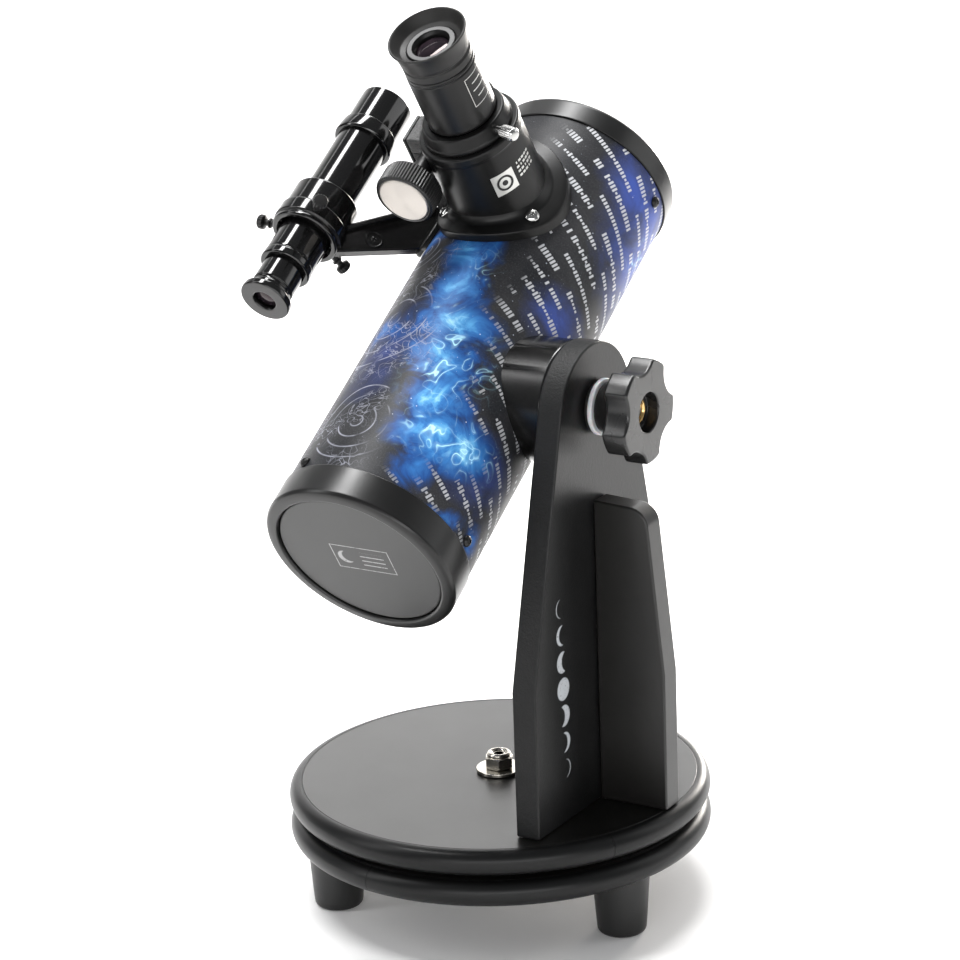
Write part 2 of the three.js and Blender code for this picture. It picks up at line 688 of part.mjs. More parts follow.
function eyepieceEyecup() {
  const low = EYEPIECE_SHOULDER + GAP;
  const profile = [
    [12.3, low], [17.1, low], [17.1, 138], [16.6, 138.4], [16.6, 139.2], [17.5, 140], [17.8, 143],
    [EYECUP_R - 0.3, 149.6], [EYECUP_R, 150.6], [EYECUP_R - 0.6, EYECUP_TOP], [EYECUP_R - 1.4, 150.4],
    [15.6, 145.6], [12.3, 144.4],
  ];
  return piece("eyepiece_eyecup", turned(profile, "z"), rubber());
}

function lens(name, r, y, thick, axis) {
  const profile = [[0, y - thick / 2 - 0.9], [r * 0.6, y - thick / 2 - 0.5], [r, y - thick / 2]];
  profile.push([r, y + thick / 2], [r * 0.6, y + thick / 2 + 0.5], [0, y + thick / 2 + 0.9]);
  return piece(name, turned(profile, axis), glass());
}

// ---- finder ----

// Turns a piece made on +X round the finder, level with its screws.
const aroundFinder = (geometry, angle) =>
  geometry.rotateY(radians(angle - 90)).translate(0, FINDER_SCREW_Y, FINDER_Z);

function finderBracket() {
  const side = outline([[56, 47], [28, 86], [38, 92], [60, 74.6], [86, 54], [93, 47]]);
  const edge = outline([[36.2, 89.6], [38, 92], [62, 72.8], [84.5, 55], [82, 54.4], [60.6, 70.4]]);
  const web = slabOnX(side, 6).translate(-3, 0, 0);
  const rib = slabOnX(edge, 12).translate(-6, 0, 0);
  const foot = overlap(box(-14, 3, 54, 96, 40, 60), pin(TUBE_R + 3, 50, 100, "y", ROUND));
  const profile = [
    [10, 27.5], [16.6, 27.5], [17.4, 28.3], [17.4, 29.6], [16.8, 30.2], [FINDER_RING_R, 31],
    [FINDER_RING_R, 38], [16.9, 38.9], [16.9, 52.4], [16.3, 53], [10, 53],
  ];
  const collar = turned(profile, "y").translate(0, 0, FINDER_Z);
  const bore = pin(RING_BORE, 20, 60, "y").translate(0, 0, FINDER_Z);
  const saddle = pin(TUBE_R + GAP, 40, 110, "y", ROUND);
  const pocket = pin(4.4, 0.5, 5, "x", SMALL).translate(0, BRACKET_SCREW_Y, BRACKET_SCREW_Z);
  const holes = FINDER_SCREW_ANGLES.map((angle) => aroundFinder(pin(2.1, 12, 22, "x", 8), angle));
  const body = cut(fuse(web, rib, foot, collar), bore, saddle, pocket, ...holes);
  return piece("finder_bracket", body, blackPlastic());
}

function bracketScrew() {
  const profile = [[0, 0.8], [3.6, 0.8], [3.6, 2], [2.4, 2.9], [0, 2.9]];
  const screw = turned(profile, "x", SMALL).translate(0, BRACKET_SCREW_Y, BRACKET_SCREW_Z);
  return piece("bracket_screw", screw, blackMetal());
}

function finderScrew(name, angle) {
  const screw = thumbscrew(8.8, 6.4, 1.7, 3.7).translate(FINDER_R + GAP, 0, 0);
  return piece(name, aroundFinder(screw, angle), blackMetal());
}

function finderTube() {
  const profile = [
    [10.3, 6], [12.2, 6], [13.1, 7], [13.1, 10], [12.4, 11], [FINDER_R, 12],
    [FINDER_R, 92], [10.9, 92], [10.9, 14], [10.3, 13],
  ];
  return piece("finder_tube", turned(profile, "y").translate(0, 0, FINDER_Z), glossPlastic());
}

// The objective cell, which is also the dew hood.
function finderHood() {
  const profile = [
    [10.9, 92 + GAP], [14.4, 92 + GAP], [15.2, 93.2], [15.2, 96.4], [14.7, 100.6], [13.5, 101.4],
    [13.5, 121], [13.1, 121.4], [12.5, 121.4], [12.5, 104.4], [11.8, 104.4], [11.8, 99.2], [10.9, 99.2],
  ];
  return piece("finder_hood", turned(profile, "y").translate(0, 0, FINDER_Z), glossPlastic());
}

function finderObjective() {
  return lens("finder_objective", 11.5, 101.8, 2.4, "y").translateZ(FINDER_Z);
}

function finderEyepiece() {
  const profile = [
    [8.2, 25], [10, 25], [10, 5], [10.5, 4.4], [10.5, -6.5], [9.6, -7.2], [9.6, -8.4], [10.4, -9],
    [10.4, -11.4], [12.5, -11.6], [12.9, -12.2], [12.9, -14.8], [12.3, -15.4], [6.2, -15.4],
    [5.6, -14.8], [5.6, -13.6], [7, -13.2], [7, -9], [8.2, -8],
  ];
  return piece("finder_eyepiece", turned(profile, "y").translate(0, 0, FINDER_Z), glossPlastic());
}

function finderEyeLens() {
  return lens("finder_eye_lens", 6.7, -11, 1.6, "y").translateZ(FINDER_Z);
}

// ---- assembly ----

function focuserGroup() {
  const places = flangeScrewPlaces();
  const focuser = group(
    focuserBody(), pinionCover(),
    ...places.map(([x, y], i) => focuserScrew(`focuser_screw_${i + 1}`, x, y)),
    pinionShaft(), focusKnob("focus_knob_rear", -1), focusKnob("focus_knob_front", 1),
    focusKnobCap("knob_cap_rear", -1), focusKnobCap("knob_cap_front", 1),
    drawtube(), eyepieceScrew(),
    eyepieceBody(), eyepieceEyecup(), lens("eyepiece_lens", 8.1, 141, 2.2, "z"),
  );
  focuser.position.y = FOCUS_Y;
  focuser.rotation.y = radians(-FOCUS_TURN);
  return focuser;
}

function diagonalGroup() {
  const diagonal = group(spider(), secondaryHolder(), secondaryMirror());
  diagonal.rotation.y = radians(-FOCUS_TURN);
  return diagonal;
}

function finderGroup() {
  const screws = FINDER_SCREW_ANGLES.map((angle, i) => finderScrew(`finder_thumbscrew_${i + 1}`, angle));
  const finder = group(
    finderBracket(), bracketScrew(), finderTube(), finderHood(), finderObjective(),
    finderEyepiece(), finderEyeLens(), ...screws,
  );
  finder.rotation.y = radians(-FINDER_ANGLE);
  return finder;
}

function tubeGroup() {
  const screws = (name, y) => RING_SCREW_ANGLES.map((angle, i) => ringScrew(`${name}_${i + 1}`, y, angle));
  const tube = group(
    tubeShell(), frontRing(), mirrorCell(), primaryMirror(), rearCover(), diagonalGroup(),
    ...screws("cell_screw", CELL_SCREW_Y), ...screws("front_screw", FRONT_SCREW_Y),
    altitudeHub(), altitudeBolt(), altitudeSpacer(), altitudeWasher(), altitudeKnob(), knobInsert(),
    focuserGroup(), finderGroup(),
  );
  tube.position.set(TUBE_X, AXIS_Y, AXIS_Z);
  tube.rotation.x = radians(TUBE_TILT);
  return tube;
}

function baseGroup() {
  const feet = FOOT_ANGLES.map((angle, i) => foot(`foot_${i + 1}`, angle));
  const pads = FOOT_ANGLES.map((angle, i) => glidePad(`glide_pad_${i + 1}`, angle));
  return group(
    board("ground_board", LOWER_Z), boardTrim("ground_board_trim", LOWER_Z), ...feet, ...pads,
    azimuthBolt(), azimuthWasher(), azimuthNut(),
  );
}

function turntableGroup() {
  const deck = [board("turntable_board", UPPER_Z), boardTrim("turntable_trim", UPPER_Z)];
  return group(...deck, armPanel(), bracePanel());
}

const telescope = group(baseGroup(), turntableGroup(), tubeGroup());
telescope.name = "newtonian_telescope";
telescope.updateMatrixWorld(true);
const extent = new THREE.Box3().setFromObject(telescope, true);
const middle = extent.getCenter(new THREE.Vector3());
telescope.position.set(-middle.x, -middle.y, -extent.min.z);

export default telescope;
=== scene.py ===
"""Looks for the tabletop Newtonian telescope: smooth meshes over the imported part, materials and stage."""
import math

import bmesh
import bpy
from mathutils import Matrix, Vector
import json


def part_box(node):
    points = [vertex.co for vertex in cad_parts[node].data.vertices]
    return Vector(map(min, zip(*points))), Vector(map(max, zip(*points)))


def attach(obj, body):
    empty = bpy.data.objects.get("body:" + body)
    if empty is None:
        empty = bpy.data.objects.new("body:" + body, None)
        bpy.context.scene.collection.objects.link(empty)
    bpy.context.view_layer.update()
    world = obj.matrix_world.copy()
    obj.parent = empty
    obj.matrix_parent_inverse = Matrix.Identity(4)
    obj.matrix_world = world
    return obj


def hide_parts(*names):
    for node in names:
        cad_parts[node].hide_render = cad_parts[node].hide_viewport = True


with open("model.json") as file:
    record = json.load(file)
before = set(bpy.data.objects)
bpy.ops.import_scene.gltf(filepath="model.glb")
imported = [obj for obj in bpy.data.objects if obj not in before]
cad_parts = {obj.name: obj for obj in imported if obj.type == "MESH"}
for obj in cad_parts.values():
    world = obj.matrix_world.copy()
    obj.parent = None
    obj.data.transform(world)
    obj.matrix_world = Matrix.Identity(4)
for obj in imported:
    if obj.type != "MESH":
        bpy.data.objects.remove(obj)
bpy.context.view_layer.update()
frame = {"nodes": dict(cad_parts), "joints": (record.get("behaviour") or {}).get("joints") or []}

MM = 0.001
TURNS = 144  # sides of a large turned piece
FINE = 96  # sides of a middling turned piece
SMALL = 40  # sides of a screw

# ---- frames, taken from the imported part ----

joints = {j["name"]: j for j in frame["joints"]}


def middle(node):
    low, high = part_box(node)
    return (Vector(low) + Vector(high)) / 2


def frame_matrix(origin, x, y, z):
    columns = Matrix((x, y, z)).transposed()
    return Matrix.Translation(origin) @ columns.to_4x4()


swing = Vector(joints["altitude_swing"]["pos_m"])
spin = Vector(joints["azimuth_spin"]["pos_m"])
along = Vector(joints["finder_slide"]["axis"])
outward = Vector(joints["focus_slide"]["axis"])
BASE = Matrix.Translation((spin.x, spin.y, 0))
ARM = Matrix.Translation((spin.x, swing.y, 0))
ACROSS = Vector((1, 0, 0))
TUBE = frame_matrix(Vector((middle("tube_shell").x, swing.y, swing.z)), ACROSS, along, ACROSS.cross(along))
FOCUS_Y = (TUBE.inverted() @ Vector(joints["focus_shaft_turn"]["pos_m"])).y / MM
FOCUSER = frame_matrix(TUBE.translation + along * FOCUS_Y * MM, along.cross(outward), along, outward)
TUBE_R = 48.0
FINDER_TURN = -50  # round the tube from its top, in degrees
FINDER_RISE = 101.6  # finder's axis over the tube's
finder_lean = Matrix.Rotation(math.radians(FINDER_TURN), 4, "Y")
FINDER = TUBE @ finder_lean @ Matrix.Translation((0, 0, FINDER_RISE * MM))
SHAFT_X, SHAFT_Z = -22.9, 78.8
SHAFT = FOCUSER @ Matrix.Translation((SHAFT_X * MM, 0, SHAFT_Z * MM))

# ---- mesh building ----


def place(axis, a, b, h):
    """A point in the plane across an axis (a, b) and along it (h), in millimetres."""
    order = {"x": (h, a, b), "y": (a, h, b), "z": (a, b, h)}[axis]
    return Vector(order) * MM


def smooth(obj, crease):
    obj.data.polygons.foreach_set("use_smooth", [True] * len(obj.data.polygons))
    obj.data.set_sharp_from_angle(angle=math.radians(crease))
    normals = obj.modifiers.new("normals", "WEIGHTED_NORMAL")
    normals.keep_sharp = True


def finish_mesh(name, bm, matrix, crease=38):
    bmesh.ops.remove_doubles(bm, verts=bm.verts, dist=1e-7)
    bmesh.ops.recalc_face_normals(bm, faces=bm.faces)
    mesh = bpy.data.meshes.new(name)
    bm.to_mesh(mesh)
    bm.free()
    obj = bpy.data.objects.new(name, mesh)
    bpy.context.scene.collection.objects.link(obj)
    obj.matrix_world = matrix
    smooth(obj, crease)
    return obj


DRAWN_IN_PLACE = ("spun_metal", "grey_cover", "arm_laminate")  # finishes drawn about a piece's own frame


def dress(obj, body, finish, *nodes):
    """Gives a piece its body and material, and the CAD nodes it stands for."""
    slot, material = finish
    if material.name.split(".")[0] not in DRAWN_IN_PLACE:
        obj.data.transform(obj.matrix_world)
        obj.matrix_world = Matrix.Identity(4)
    obj.data.materials.clear()
    obj.data.materials.append(material)
    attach(obj, body)
    if nodes:
        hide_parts(*nodes)
    return obj


def soften(profile, radius, closed):
    """Rounds the corners of a profile of (radius, height) pairs."""
    if radius <= 0:
        return profile
    points = [Vector(p) for p in profile]
    result = []
    count = len(points)
    for i, corner in enumerate(points):
        if not closed and i in (0, count - 1):
            result.append(corner)
            continue
        before = points[i - 1] - corner
        after = points[(i + 1) % count] - corner
        if before.length < 1e-6 or after.length < 1e-6:
            continue
        if before.angle(after) > math.radians(155):
            result.append(corner)
            continue
        start = corner + before.normalized() * min(radius, before.length * 0.45)
        end = corner + after.normalized() * min(radius, after.length * 0.45)
        for k in range(4):
            t = k / 3
            result.append(start * (1 - t) ** 2 + corner * 2 * t * (1 - t) + end * t**2)
    return [tuple(p) for p in result]


def bridge(bm, one, two):
    """Faces between two closed rings, either of which may be one point repeated."""
    for i in range(len(one)):
        j = (i + 1) % len(one)
        corners = list(dict.fromkeys((one[i], one[j], two[j], two[i])))
        if len(corners) > 2:
            bm.faces.new(corners)


def turned(name, matrix, axis, profile, sides=FINE, radius=0.5, crease=38):
    """Revolves a profile of (radius, height) pairs about an axis."""
    closed = profile[0][0] > 1e-6
    bm = bmesh.new()
    rings = []
    for r, h in soften(profile, radius, closed):
        if r < 1e-6:
            rings.append([bm.verts.new(place(axis, 0, 0, h))] * sides)
        else:
            rings.append([bm.verts.new(place(axis, a, b, h)) for a, b in circle(r, sides)])
    for low, high in zip(rings, rings[1:] + rings[:1] if closed else rings[1:]):
        bridge(bm, low, high)
    return finish_mesh(name, bm, matrix, crease)


def capped(name, matrix, sections, crease=38):
    """Joins closed sections of equal length, each a list of points, and closes both ends."""
    bm = bmesh.new()
    rings = [[bm.verts.new(point) for point in section] for section in sections]
    for one, two in zip(rings, rings[1:]):
        bridge(bm, one, two)
    bm.faces.new(rings[0])
    bm.faces.new(rings[-1])
    return finish_mesh(name, bm, matrix, crease)


def lofted(name, matrix, axis, levels, crease=38):
    """Joins outlines of equal length, each ((a, b) points, height)."""
    return capped(name, matrix, [[place(axis, a, b, h) for a, b in points] for points, h in levels], crease)


def swept(name, matrix, section, angles, crease):
    """Carries a section of (radius, height) pairs round Z from angle to angle."""
    stops = [(math.cos(t), math.sin(t)) for t in angles]
    return capped(name, matrix, [[place("z", r * c, r * s, h) for r, h in section] for c, s in stops], crease)


def circle(radius, count):
    angles = [2 * math.pi * i / count for i in range(count)]
    return [(radius * math.cos(t), radius * math.sin(t)) for t in angles]


def slab(name, matrix, axis, outline, low, high, edge=0.6, crease=38):
    """A flat piece with bevelled edges from an outline of (a, b) points."""
    obj = lofted(name, matrix, axis, [(outline, low), (outline, high)], crease)
    bevel = obj.modifiers.new("edge", "BEVEL")
    bevel.width = edge * MM
    bevel.segments = 3
    bevel.limit_method = "ANGLE"
    bevel.angle_limit = math.radians(40)
    obj.modifiers.move(len(obj.modifiers) - 1, 0)
    return obj


def block(name, matrix, low, high, edge=0.6):
    outline = [(low[0], low[1]), (high[0], low[1]), (high[0], high[1]), (low[0], high[1])]
    return slab(name, matrix, "z", outline, low[2], high[2], edge)


def baked(obj):
    """Applies the modifiers made so far."""
    graph = bpy.context.evaluated_depsgraph_get()
    mesh = bpy.data.meshes.new_from_object(obj.evaluated_get(graph))
    obj.modifiers.clear()
    obj.data = mesh
    return obj


def combine(first, others, operation="UNION", crease=38):
    """Joins or cuts solids and leaves one smooth-shaded mesh."""
    for other in others:
        bpy.context.view_layer.update()
        change = first.modifiers.new("change", "BOOLEAN")
        change.operation = operation
        change.solver = "EXACT"
        change.object = other
        first.modifiers.move(len(first.modifiers) - 1, 0)
        bpy.context.view_layer.update()
        baked(first)
        bpy.data.objects.remove(other)
    smooth(first, crease)
    return first


def sleeve(inner, outer, low, high):
    """Profile of a plain ring, or of a plain disc if the inner radius is 0."""
    return [(inner, low), (outer, low), (outer, high), (inner, high)]


def turn_about(axis, degrees):
    return Matrix.Rotation(math.radians(degrees), 4, axis.upper())

# ---- materials ----


class Shader:
    """A short way to write node trees: values go straight on sockets, and links join nodes."""

    def __init__(self, name):
        self.material = bpy.data.materials.new(name)
        self.material.use_nodes = True
        self.tree = self.material.node_tree
        self.surface = self.tree.nodes["Principled BSDF"]
        self.spot = self.add("ShaderNodeTexCoord").outputs["Object"]

    def add(self, kind, inputs=None, **settings):
        node = self.tree.nodes.new(kind)
        for key, value in settings.items():
            setattr(node, key, value)
        for key, value in (inputs or {}).items():
            self.put(node.inputs[key], value)
        return node

    def put(self, socket, value):
        if isinstance(value, bpy.types.NodeSocket):
            self.tree.links.new(value, socket)
        else:
            socket.default_value = value

    def split(self, vector):
        return self.add("ShaderNodeSeparateXYZ", {"Vector": vector}).outputs

    def spot_mm(self):
        """The three coordinates of the place being shaded, in millimetres."""
        return [self.times(value, 1000) for value in self.split(self.spot)]

    def math(self, operation, a, b=0.0, c=0.0):
        node = self.add("ShaderNodeMath", operation=operation)
        for socket, value in zip(node.inputs, (a, b, c)):
            self.put(socket, value)
        return node.outputs[0]

    def times(self, a, b):
        return self.math("MULTIPLY", a, b)

    def plus(self, a, b):
        return self.math("ADD", a, b)

    def minus(self, a, b):
        return self.math("SUBTRACT", a, b)

    def size(self, a):
        return self.math("ABSOLUTE", a)

    def most(self, a, b):
        return self.math("MAXIMUM", a, b)

    def below(self, a, b):
        return self.math("LESS_THAN", a, b)

    def above(self, a, b):
        return self.math("GREATER_THAN", a, b)

    def off_middle(self, a):
        """How far a value's fraction is from a half, for evenly spaced lines."""
        return self.size(self.minus(self.math("FRACT", a), 0.5))

    def reach(self, a, b, at_a=0.0, at_b=0.0):
        """Distance from a place in the plane of two coordinates."""
        a, b = self.minus(a, at_a), self.minus(b, at_b)
        return self.math("SQRT", self.plus(self.times(a, a), self.times(b, b)))

    def disc(self, a, b, at_a, at_b, radius, soft=0.25):
        """1 inside a circle in the plane of two coordinates."""
        return self.span(self.reach(a, b, at_a, at_b), radius - soft, radius + soft, 1.0, 0.0)

    def box(self, a, b, at_a, at_b, half_a, half_b):
        """1 inside a rectangle in the plane of two coordinates."""
        return self.times(self.below(self.size(self.minus(a, at_a)), half_a),
                          self.below(self.size(self.minus(b, at_b)), half_b))

    def noise(self, scale, detail=3.0, rough=0.55, at=None, distort=0.0):
        values = {"Vector": at or self.spot, "Scale": scale, "Detail": detail}
        values |= {"Roughness": rough, "Distortion": distort}
        return self.add("ShaderNodeTexNoise", values).outputs["Fac"]

    def span(self, value, low, high, to_low=0.0, to_high=1.0):
        values = {"Value": value, "From Min": low, "From Max": high, "To Min": to_low, "To Max": to_high}
        return self.add("ShaderNodeMapRange", values, clamp=True).outputs["Result"]

    def blend(self, factor, a, b):
        node = self.add("ShaderNodeMix", {"Factor": factor, "A": a, "B": b}, data_type="RGBA")
        return next(o for o in node.outputs if o.type == "RGBA")

    def union(self, masks):
        result = masks[0]
        for mask in masks[1:]:
            result = self.most(result, mask)
        return result

    def ramp(self, factor, stops):
        node = self.add("ShaderNodeValToRGB")
        elements = node.color_ramp.elements
        while len(elements) < len(stops):
            elements.new(0.5)
        for element, (where, color) in zip(elements, stops):
            element.position = where
            element.color = (*color, 1)
        self.put(node.inputs["Fac"], factor)
        return node.outputs["Color"]

    def bump(self, height, strength, distance):
        node = self.add("ShaderNodeBump", {"Height": height, "Strength": strength, "Distance": distance * MM})
        self.put(self.surface.inputs["Normal"], node.outputs["Normal"])

    def set(self, **values):
        for key, value in values.items():
            self.put(self.surface.inputs[key.replace("_", " ").title().replace("Ior", "IOR")], value)


def grey(value, warm=0.0):
    return (value * (1 + warm), value, value * (1 - warm), 1)


# Each finish is the name of the CAD's material slot, with the material that is shown for it.


def black_finish(name, albedo, rough, grain, depth, warm=0.0, mottle=0.25, shine=0.36, slot="black_plastic"):
    """Black plastic, laminate or paint: fine grain, faint cloudiness and slightly uneven gloss."""
    s = Shader(name)
    cloud = s.noise(35, 4)
    tone = s.math("MULTIPLY_ADD", cloud, mottle * 2, 1 - mottle)
    color = s.blend(s.span(tone, 0.7, 1.3), grey(albedo * 0.75, warm), grey(albedo * 1.3, warm))
    dust = s.span(s.noise(grain * 0.7, 1, 0.5), 0.7, 0.78, 0, 0.35)
    s.set(base_color=s.blend(dust, color, grey(albedo * 2.2, warm)), specular_ior_level=shine)
    s.set(roughness=s.span(cloud, 0.3, 0.7, rough * (1 - mottle / 2), rough * (1 + mottle / 2)))
    s.bump(s.noise(grain, 2, 0.6), depth, 0.12)
    return slot, s.material


def metal_finish(name, slot, color, rough, depth=0.05):
    s = Shader(name)
    cloud = s.noise(160, 3)
    s.set(base_color=s.blend(s.span(cloud, 0.3, 0.7), (*[c * 0.9 for c in color], 1), (*color, 1)))
    s.set(metallic=1.0, roughness=s.span(cloud, 0.3, 0.7, rough * 0.8, rough * 1.3))
    s.bump(s.noise(900, 2), depth, 0.05)
    return slot, s.material


def spun_finish():
    """Turned metal disc: fine rings and a brushed sheen."""
    s = Shader("spun_metal")
    x, _, z = s.split(s.spot)
    out = s.add("ShaderNodeCombineXYZ", {"X": s.times(s.reach(x, z), 6000)})
    rings = s.noise(1.0, 2, 0.5, at=out.outputs[0])
    tone = s.blend(s.span(rings, 0.3, 0.7), (0.34, 0.315, 0.29, 1), (0.5, 0.47, 0.44, 1))
    s.set(base_color=tone, metallic=1.0, roughness=s.span(rings, 0.2, 0.8, 0.26, 0.4), anisotropic=0.75)
    s.set(tangent=s.add("ShaderNodeTangent", direction_type="RADIAL", axis="Y").outputs[0])
    s.bump(rings, 0.06, 0.02)
    return "brushed_steel", s.material


def lens_finish():
    s = Shader("lens_coat")
    fog = s.noise(120, 2)
    s.set(base_color=s.blend(s.span(fog, 0.3, 0.7), (0.004, 0.003, 0.005, 1), (0.02, 0.014, 0.018, 1)))
    s.set(
        roughness=s.span(fog, 0.2, 0.8, 0.03, 0.08), specular_ior_level=0.3, specular_tint=(1.0, 0.82, 0.8, 1)
    )
    s.bump(fog, 0.01, 0.02)
    return "glass", s.material


def mirror_finish():
    s = Shader("mirror_coat")
    dust = s.noise(500, 3)
    s.set(base_color=s.blend(s.span(dust, 0.4, 0.8), (0.9, 0.92, 0.94, 1), (0.82, 0.84, 0.86, 1)))
    s.set(metallic=1.0, roughness=s.span(dust, 0.5, 0.9, 0.02, 0.08))
    s.bump(dust, 0.01, 0.01)
    return "mirror", s.material


def frosted_finish():
    """Milky nylon that lets a little light through."""
    s = Shader("milky_nylon")
    cloud = s.noise(200, 3)
    s.set(base_color=s.blend(s.span(cloud, 0.3, 0.7), (0.5, 0.51, 0.53, 1), (0.68, 0.69, 0.7, 1)))
    s.set(roughness=s.span(cloud, 0.3, 0.7, 0.35, 0.5), subsurface_weight=0.3, subsurface_scale=0.002)
    s.bump(cloud, 0.08, 0.05)
    return "nylon", s.material


def rough_casting():
    """Unmachined moulding with a pitted, wrinkled skin."""
    s = Shader("rough_casting")
    lump = s.noise(420, 4, 0.7)
    color = s.blend(s.span(lump, 0.35, 0.65), grey(0.008), grey(0.05))
    s.set(base_color=color, roughness=s.span(lump, 0.3, 0.7, 0.3, 0.55))
    s.bump(s.plus(lump, s.times(s.noise(1500, 2, 0.6), 0.4)), 0.9, 0.5)
    return "black_plastic", s.material


PHASES_LOW = 88
PHASES_STEP = 13.5
PHASES_Y = -39
PHASE_SIZE = 5.6
ARM_FACE_X = 62.9  # just inside the arm's outer face, which carries the print


def arm_finish():
    """Black laminate with a pale printed column of moon phases."""
    s = Shader("arm_laminate")
    cloud = s.noise(30, 4)
    base = s.blend(s.span(cloud, 0.3, 0.7), grey(0.004, -0.03), grey(0.007, -0.03))
    x, y, z = s.spot_mm()
    phases = []
    for k in range(-3, 4):
        height, size = PHASES_LOW + (k + 3) * PHASES_STEP, PHASE_SIZE * (1 - 0.05 * abs(k))
        lit = s.disc(y, z, PHASES_Y, height, size)
        if k:
            away = math.copysign(size, k) * (2 - abs(k) / 3 * 1.75) * 0.62
            lit = s.minus(lit, s.disc(y, z, PHASES_Y + away, height, size * 1.02))
        phases.append(s.most(lit, 0.0))
    wear = s.span(s.noise(900, 2), 0.25, 0.4)
    printed = s.times(s.times(s.union(phases), s.above(x, ARM_FACE_X)), wear)
    s.set(base_color=s.blend(printed, base, (0.42, 0.44, 0.46, 1)), specular_ior_level=0.26)
    normal = s.split(s.add("ShaderNodeNewGeometry").outputs["Normal"])
    edge = s.below(s.size(normal["X"]), 0.5)
    s.set(roughness=s.span(edge, 0, 1, 0.34, 0.5))
    s.bump(s.times(s.noise(800, 3, 0.7), s.span(edge, 0, 1, 0.25, 1.0)), 0.9, 0.35)
    return "satin_board", s.material


def cover_finish():
    """Dark grey satin disc with a fine line frame, a small crescent and bars on it."""
    s = Shader("grey_cover")
    cloud = s.noise(40, 4)
    base = s.blend(s.span(cloud, 0.3, 0.7), grey(0.03), grey(0.043))
    x, _, z = s.spot_mm()
    line = s.minus(s.box(x, z, 2.5, 1.5, 16, 8.2), s.box(x, z, 2.5, 1.5, 15.5, 7.7))
    moon = s.most(s.minus(s.disc(x, z, -7, 1.5, 4.2), s.disc(x, z, -5, 2.3, 3.8)), 0.0)
    ticks = s.below(s.math("FRACT", s.times(z, 0.33)), 0.22)
    mark = s.union([line, moon, s.times(s.box(x, z, 8, 1.5, 6.5, 4.6), ticks)])
    worn = s.span(s.noise(700, 2), 0.3, 0.45, 0.3, 0.85)
    s.set(base_color=s.blend(s.times(mark, worn), base, grey(0.34)))
    s.set(roughness=s.span(cloud, 0.3, 0.7, 0.4, 0.5), specular_ior_level=0.4)
    s.bump(s.noise(1400, 2), 0.08, 0.06)
    return "grey_cover", s.material


PRINT_LAYERS = ("cloud", "haze", "glow", "chart", "rows")


def tube_print():
    """Printed star field: blue cloud in the middle, a line chart on the left, rows of ticks on the right."""
    s = Shader("printed_tube")
    uv = s.add("ShaderNodeUVMap", uv_map="print").outputs["UV"]
    u, v, _ = s.split(uv)
    layer = {k: s.add("ShaderNodeAttribute", attribute_name=k).outputs["Fac"] for k in PRINT_LAYERS}
    ground = s.span(s.noise(0.03, 5, 0.6, at=uv), 0.35, 0.65)
    color = s.blend(ground, (0.012, 0.013, 0.016, 1), (0.03, 0.03, 0.032, 1))
    speck = s.span(s.noise(1.3, 2, 0.7, at=uv), 0.5, 0.75, 0, 0.5)
    color = s.blend(speck, color, (0.075, 0.075, 0.078, 1))
    # violet haze
    wisp = s.noise(0.05, 5, 0.62, at=uv, distort=0.6)
    haze = s.times(layer["haze"], s.span(wisp, 0.3, 0.7, 0.25, 1.3))
    color = s.blend(s.span(haze, 0.05, 0.9), color, (0.045, 0.085, 0.36, 1))
    # blue cloud
    puff = s.noise(0.055, 7, 0.62, at=uv, distort=0.9)
    body = s.span(s.times(layer["cloud"], s.span(puff, 0.3, 0.68, 0.5, 1.4)), 0.28, 1.5)
    blue = s.ramp(body, [
        (0.0, (0.012, 0.025, 0.075)), (0.3, (0.015, 0.065, 0.23)), (0.6, (0.035, 0.165, 0.44)),
        (0.82, (0.09, 0.33, 0.62)), (1.0, (0.3, 0.6, 0.78)),
    ])
    color = s.blend(s.span(body, 0.02, 0.3), color, blue)
    # bright filaments in the cloud
    band = s.off_middle(s.times(s.noise(0.07, 1.5, 0.4, at=uv, distort=1.2), 4.5))
    aside = s.add("ShaderNodeVectorMath", {0: uv, 1: (70, 20, 5)}, operation="ADD").outputs[0]
    gate = s.span(s.noise(0.06, 2, at=aside), 0.42, 0.6)
    core = s.times(s.span(band, 0.0, 0.07, 1.0, 0.0), gate)
    halo = s.times(s.span(band, 0.0, 0.3, 0.35, 0.0), gate)
    filament = s.times(s.plus(core, halo), layer["glow"])
    color = s.blend(s.span(filament, 0.0, 1.0), color, (0.5, 0.86, 1.0, 1))
    # chart of thin pale lines
    faint = s.span(s.noise(0.12, 3, at=uv), 0.3, 0.6, 0.35, 1.0)
    chart = s.times(s.times(chart_lines(s, uv, u, v), layer["chart"]), faint)
    color = s.blend(s.times(chart, 0.95), color, (0.36, 0.37, 0.43, 1))
    # slanted rows of ticks and dots
    rows = s.times(tick_rows(s, u, v), layer["rows"])
    color = s.blend(s.times(rows, 0.85), color, (0.55, 0.56, 0.58, 1))
    # stars
    for scale, size, gain in ((0.22, 0.05, 0.9), (0.5, 0.055, 0.5)):
        cell = s.add("ShaderNodeTexVoronoi", {"Vector": uv, "Scale": scale})
        chance = s.above(s.add("ShaderNodeSeparateColor", {0: cell.outputs["Color"]}).outputs[0], 0.62)
        star = s.times(s.span(cell.outputs["Distance"], size * 0.4, size * 1.6, gain, 0.0), chance)
        color = s.blend(star, color, (0.75, 0.82, 0.95, 1))
    s.set(base_color=color, roughness=s.span(s.noise(0.05, 3, at=uv), 0.3, 0.7, 0.38, 0.46))
    s.set(specular_ior_level=0.16)
    s.bump(s.noise(900, 2), 0.04, 0.05)
    return "printed_tube", s.material


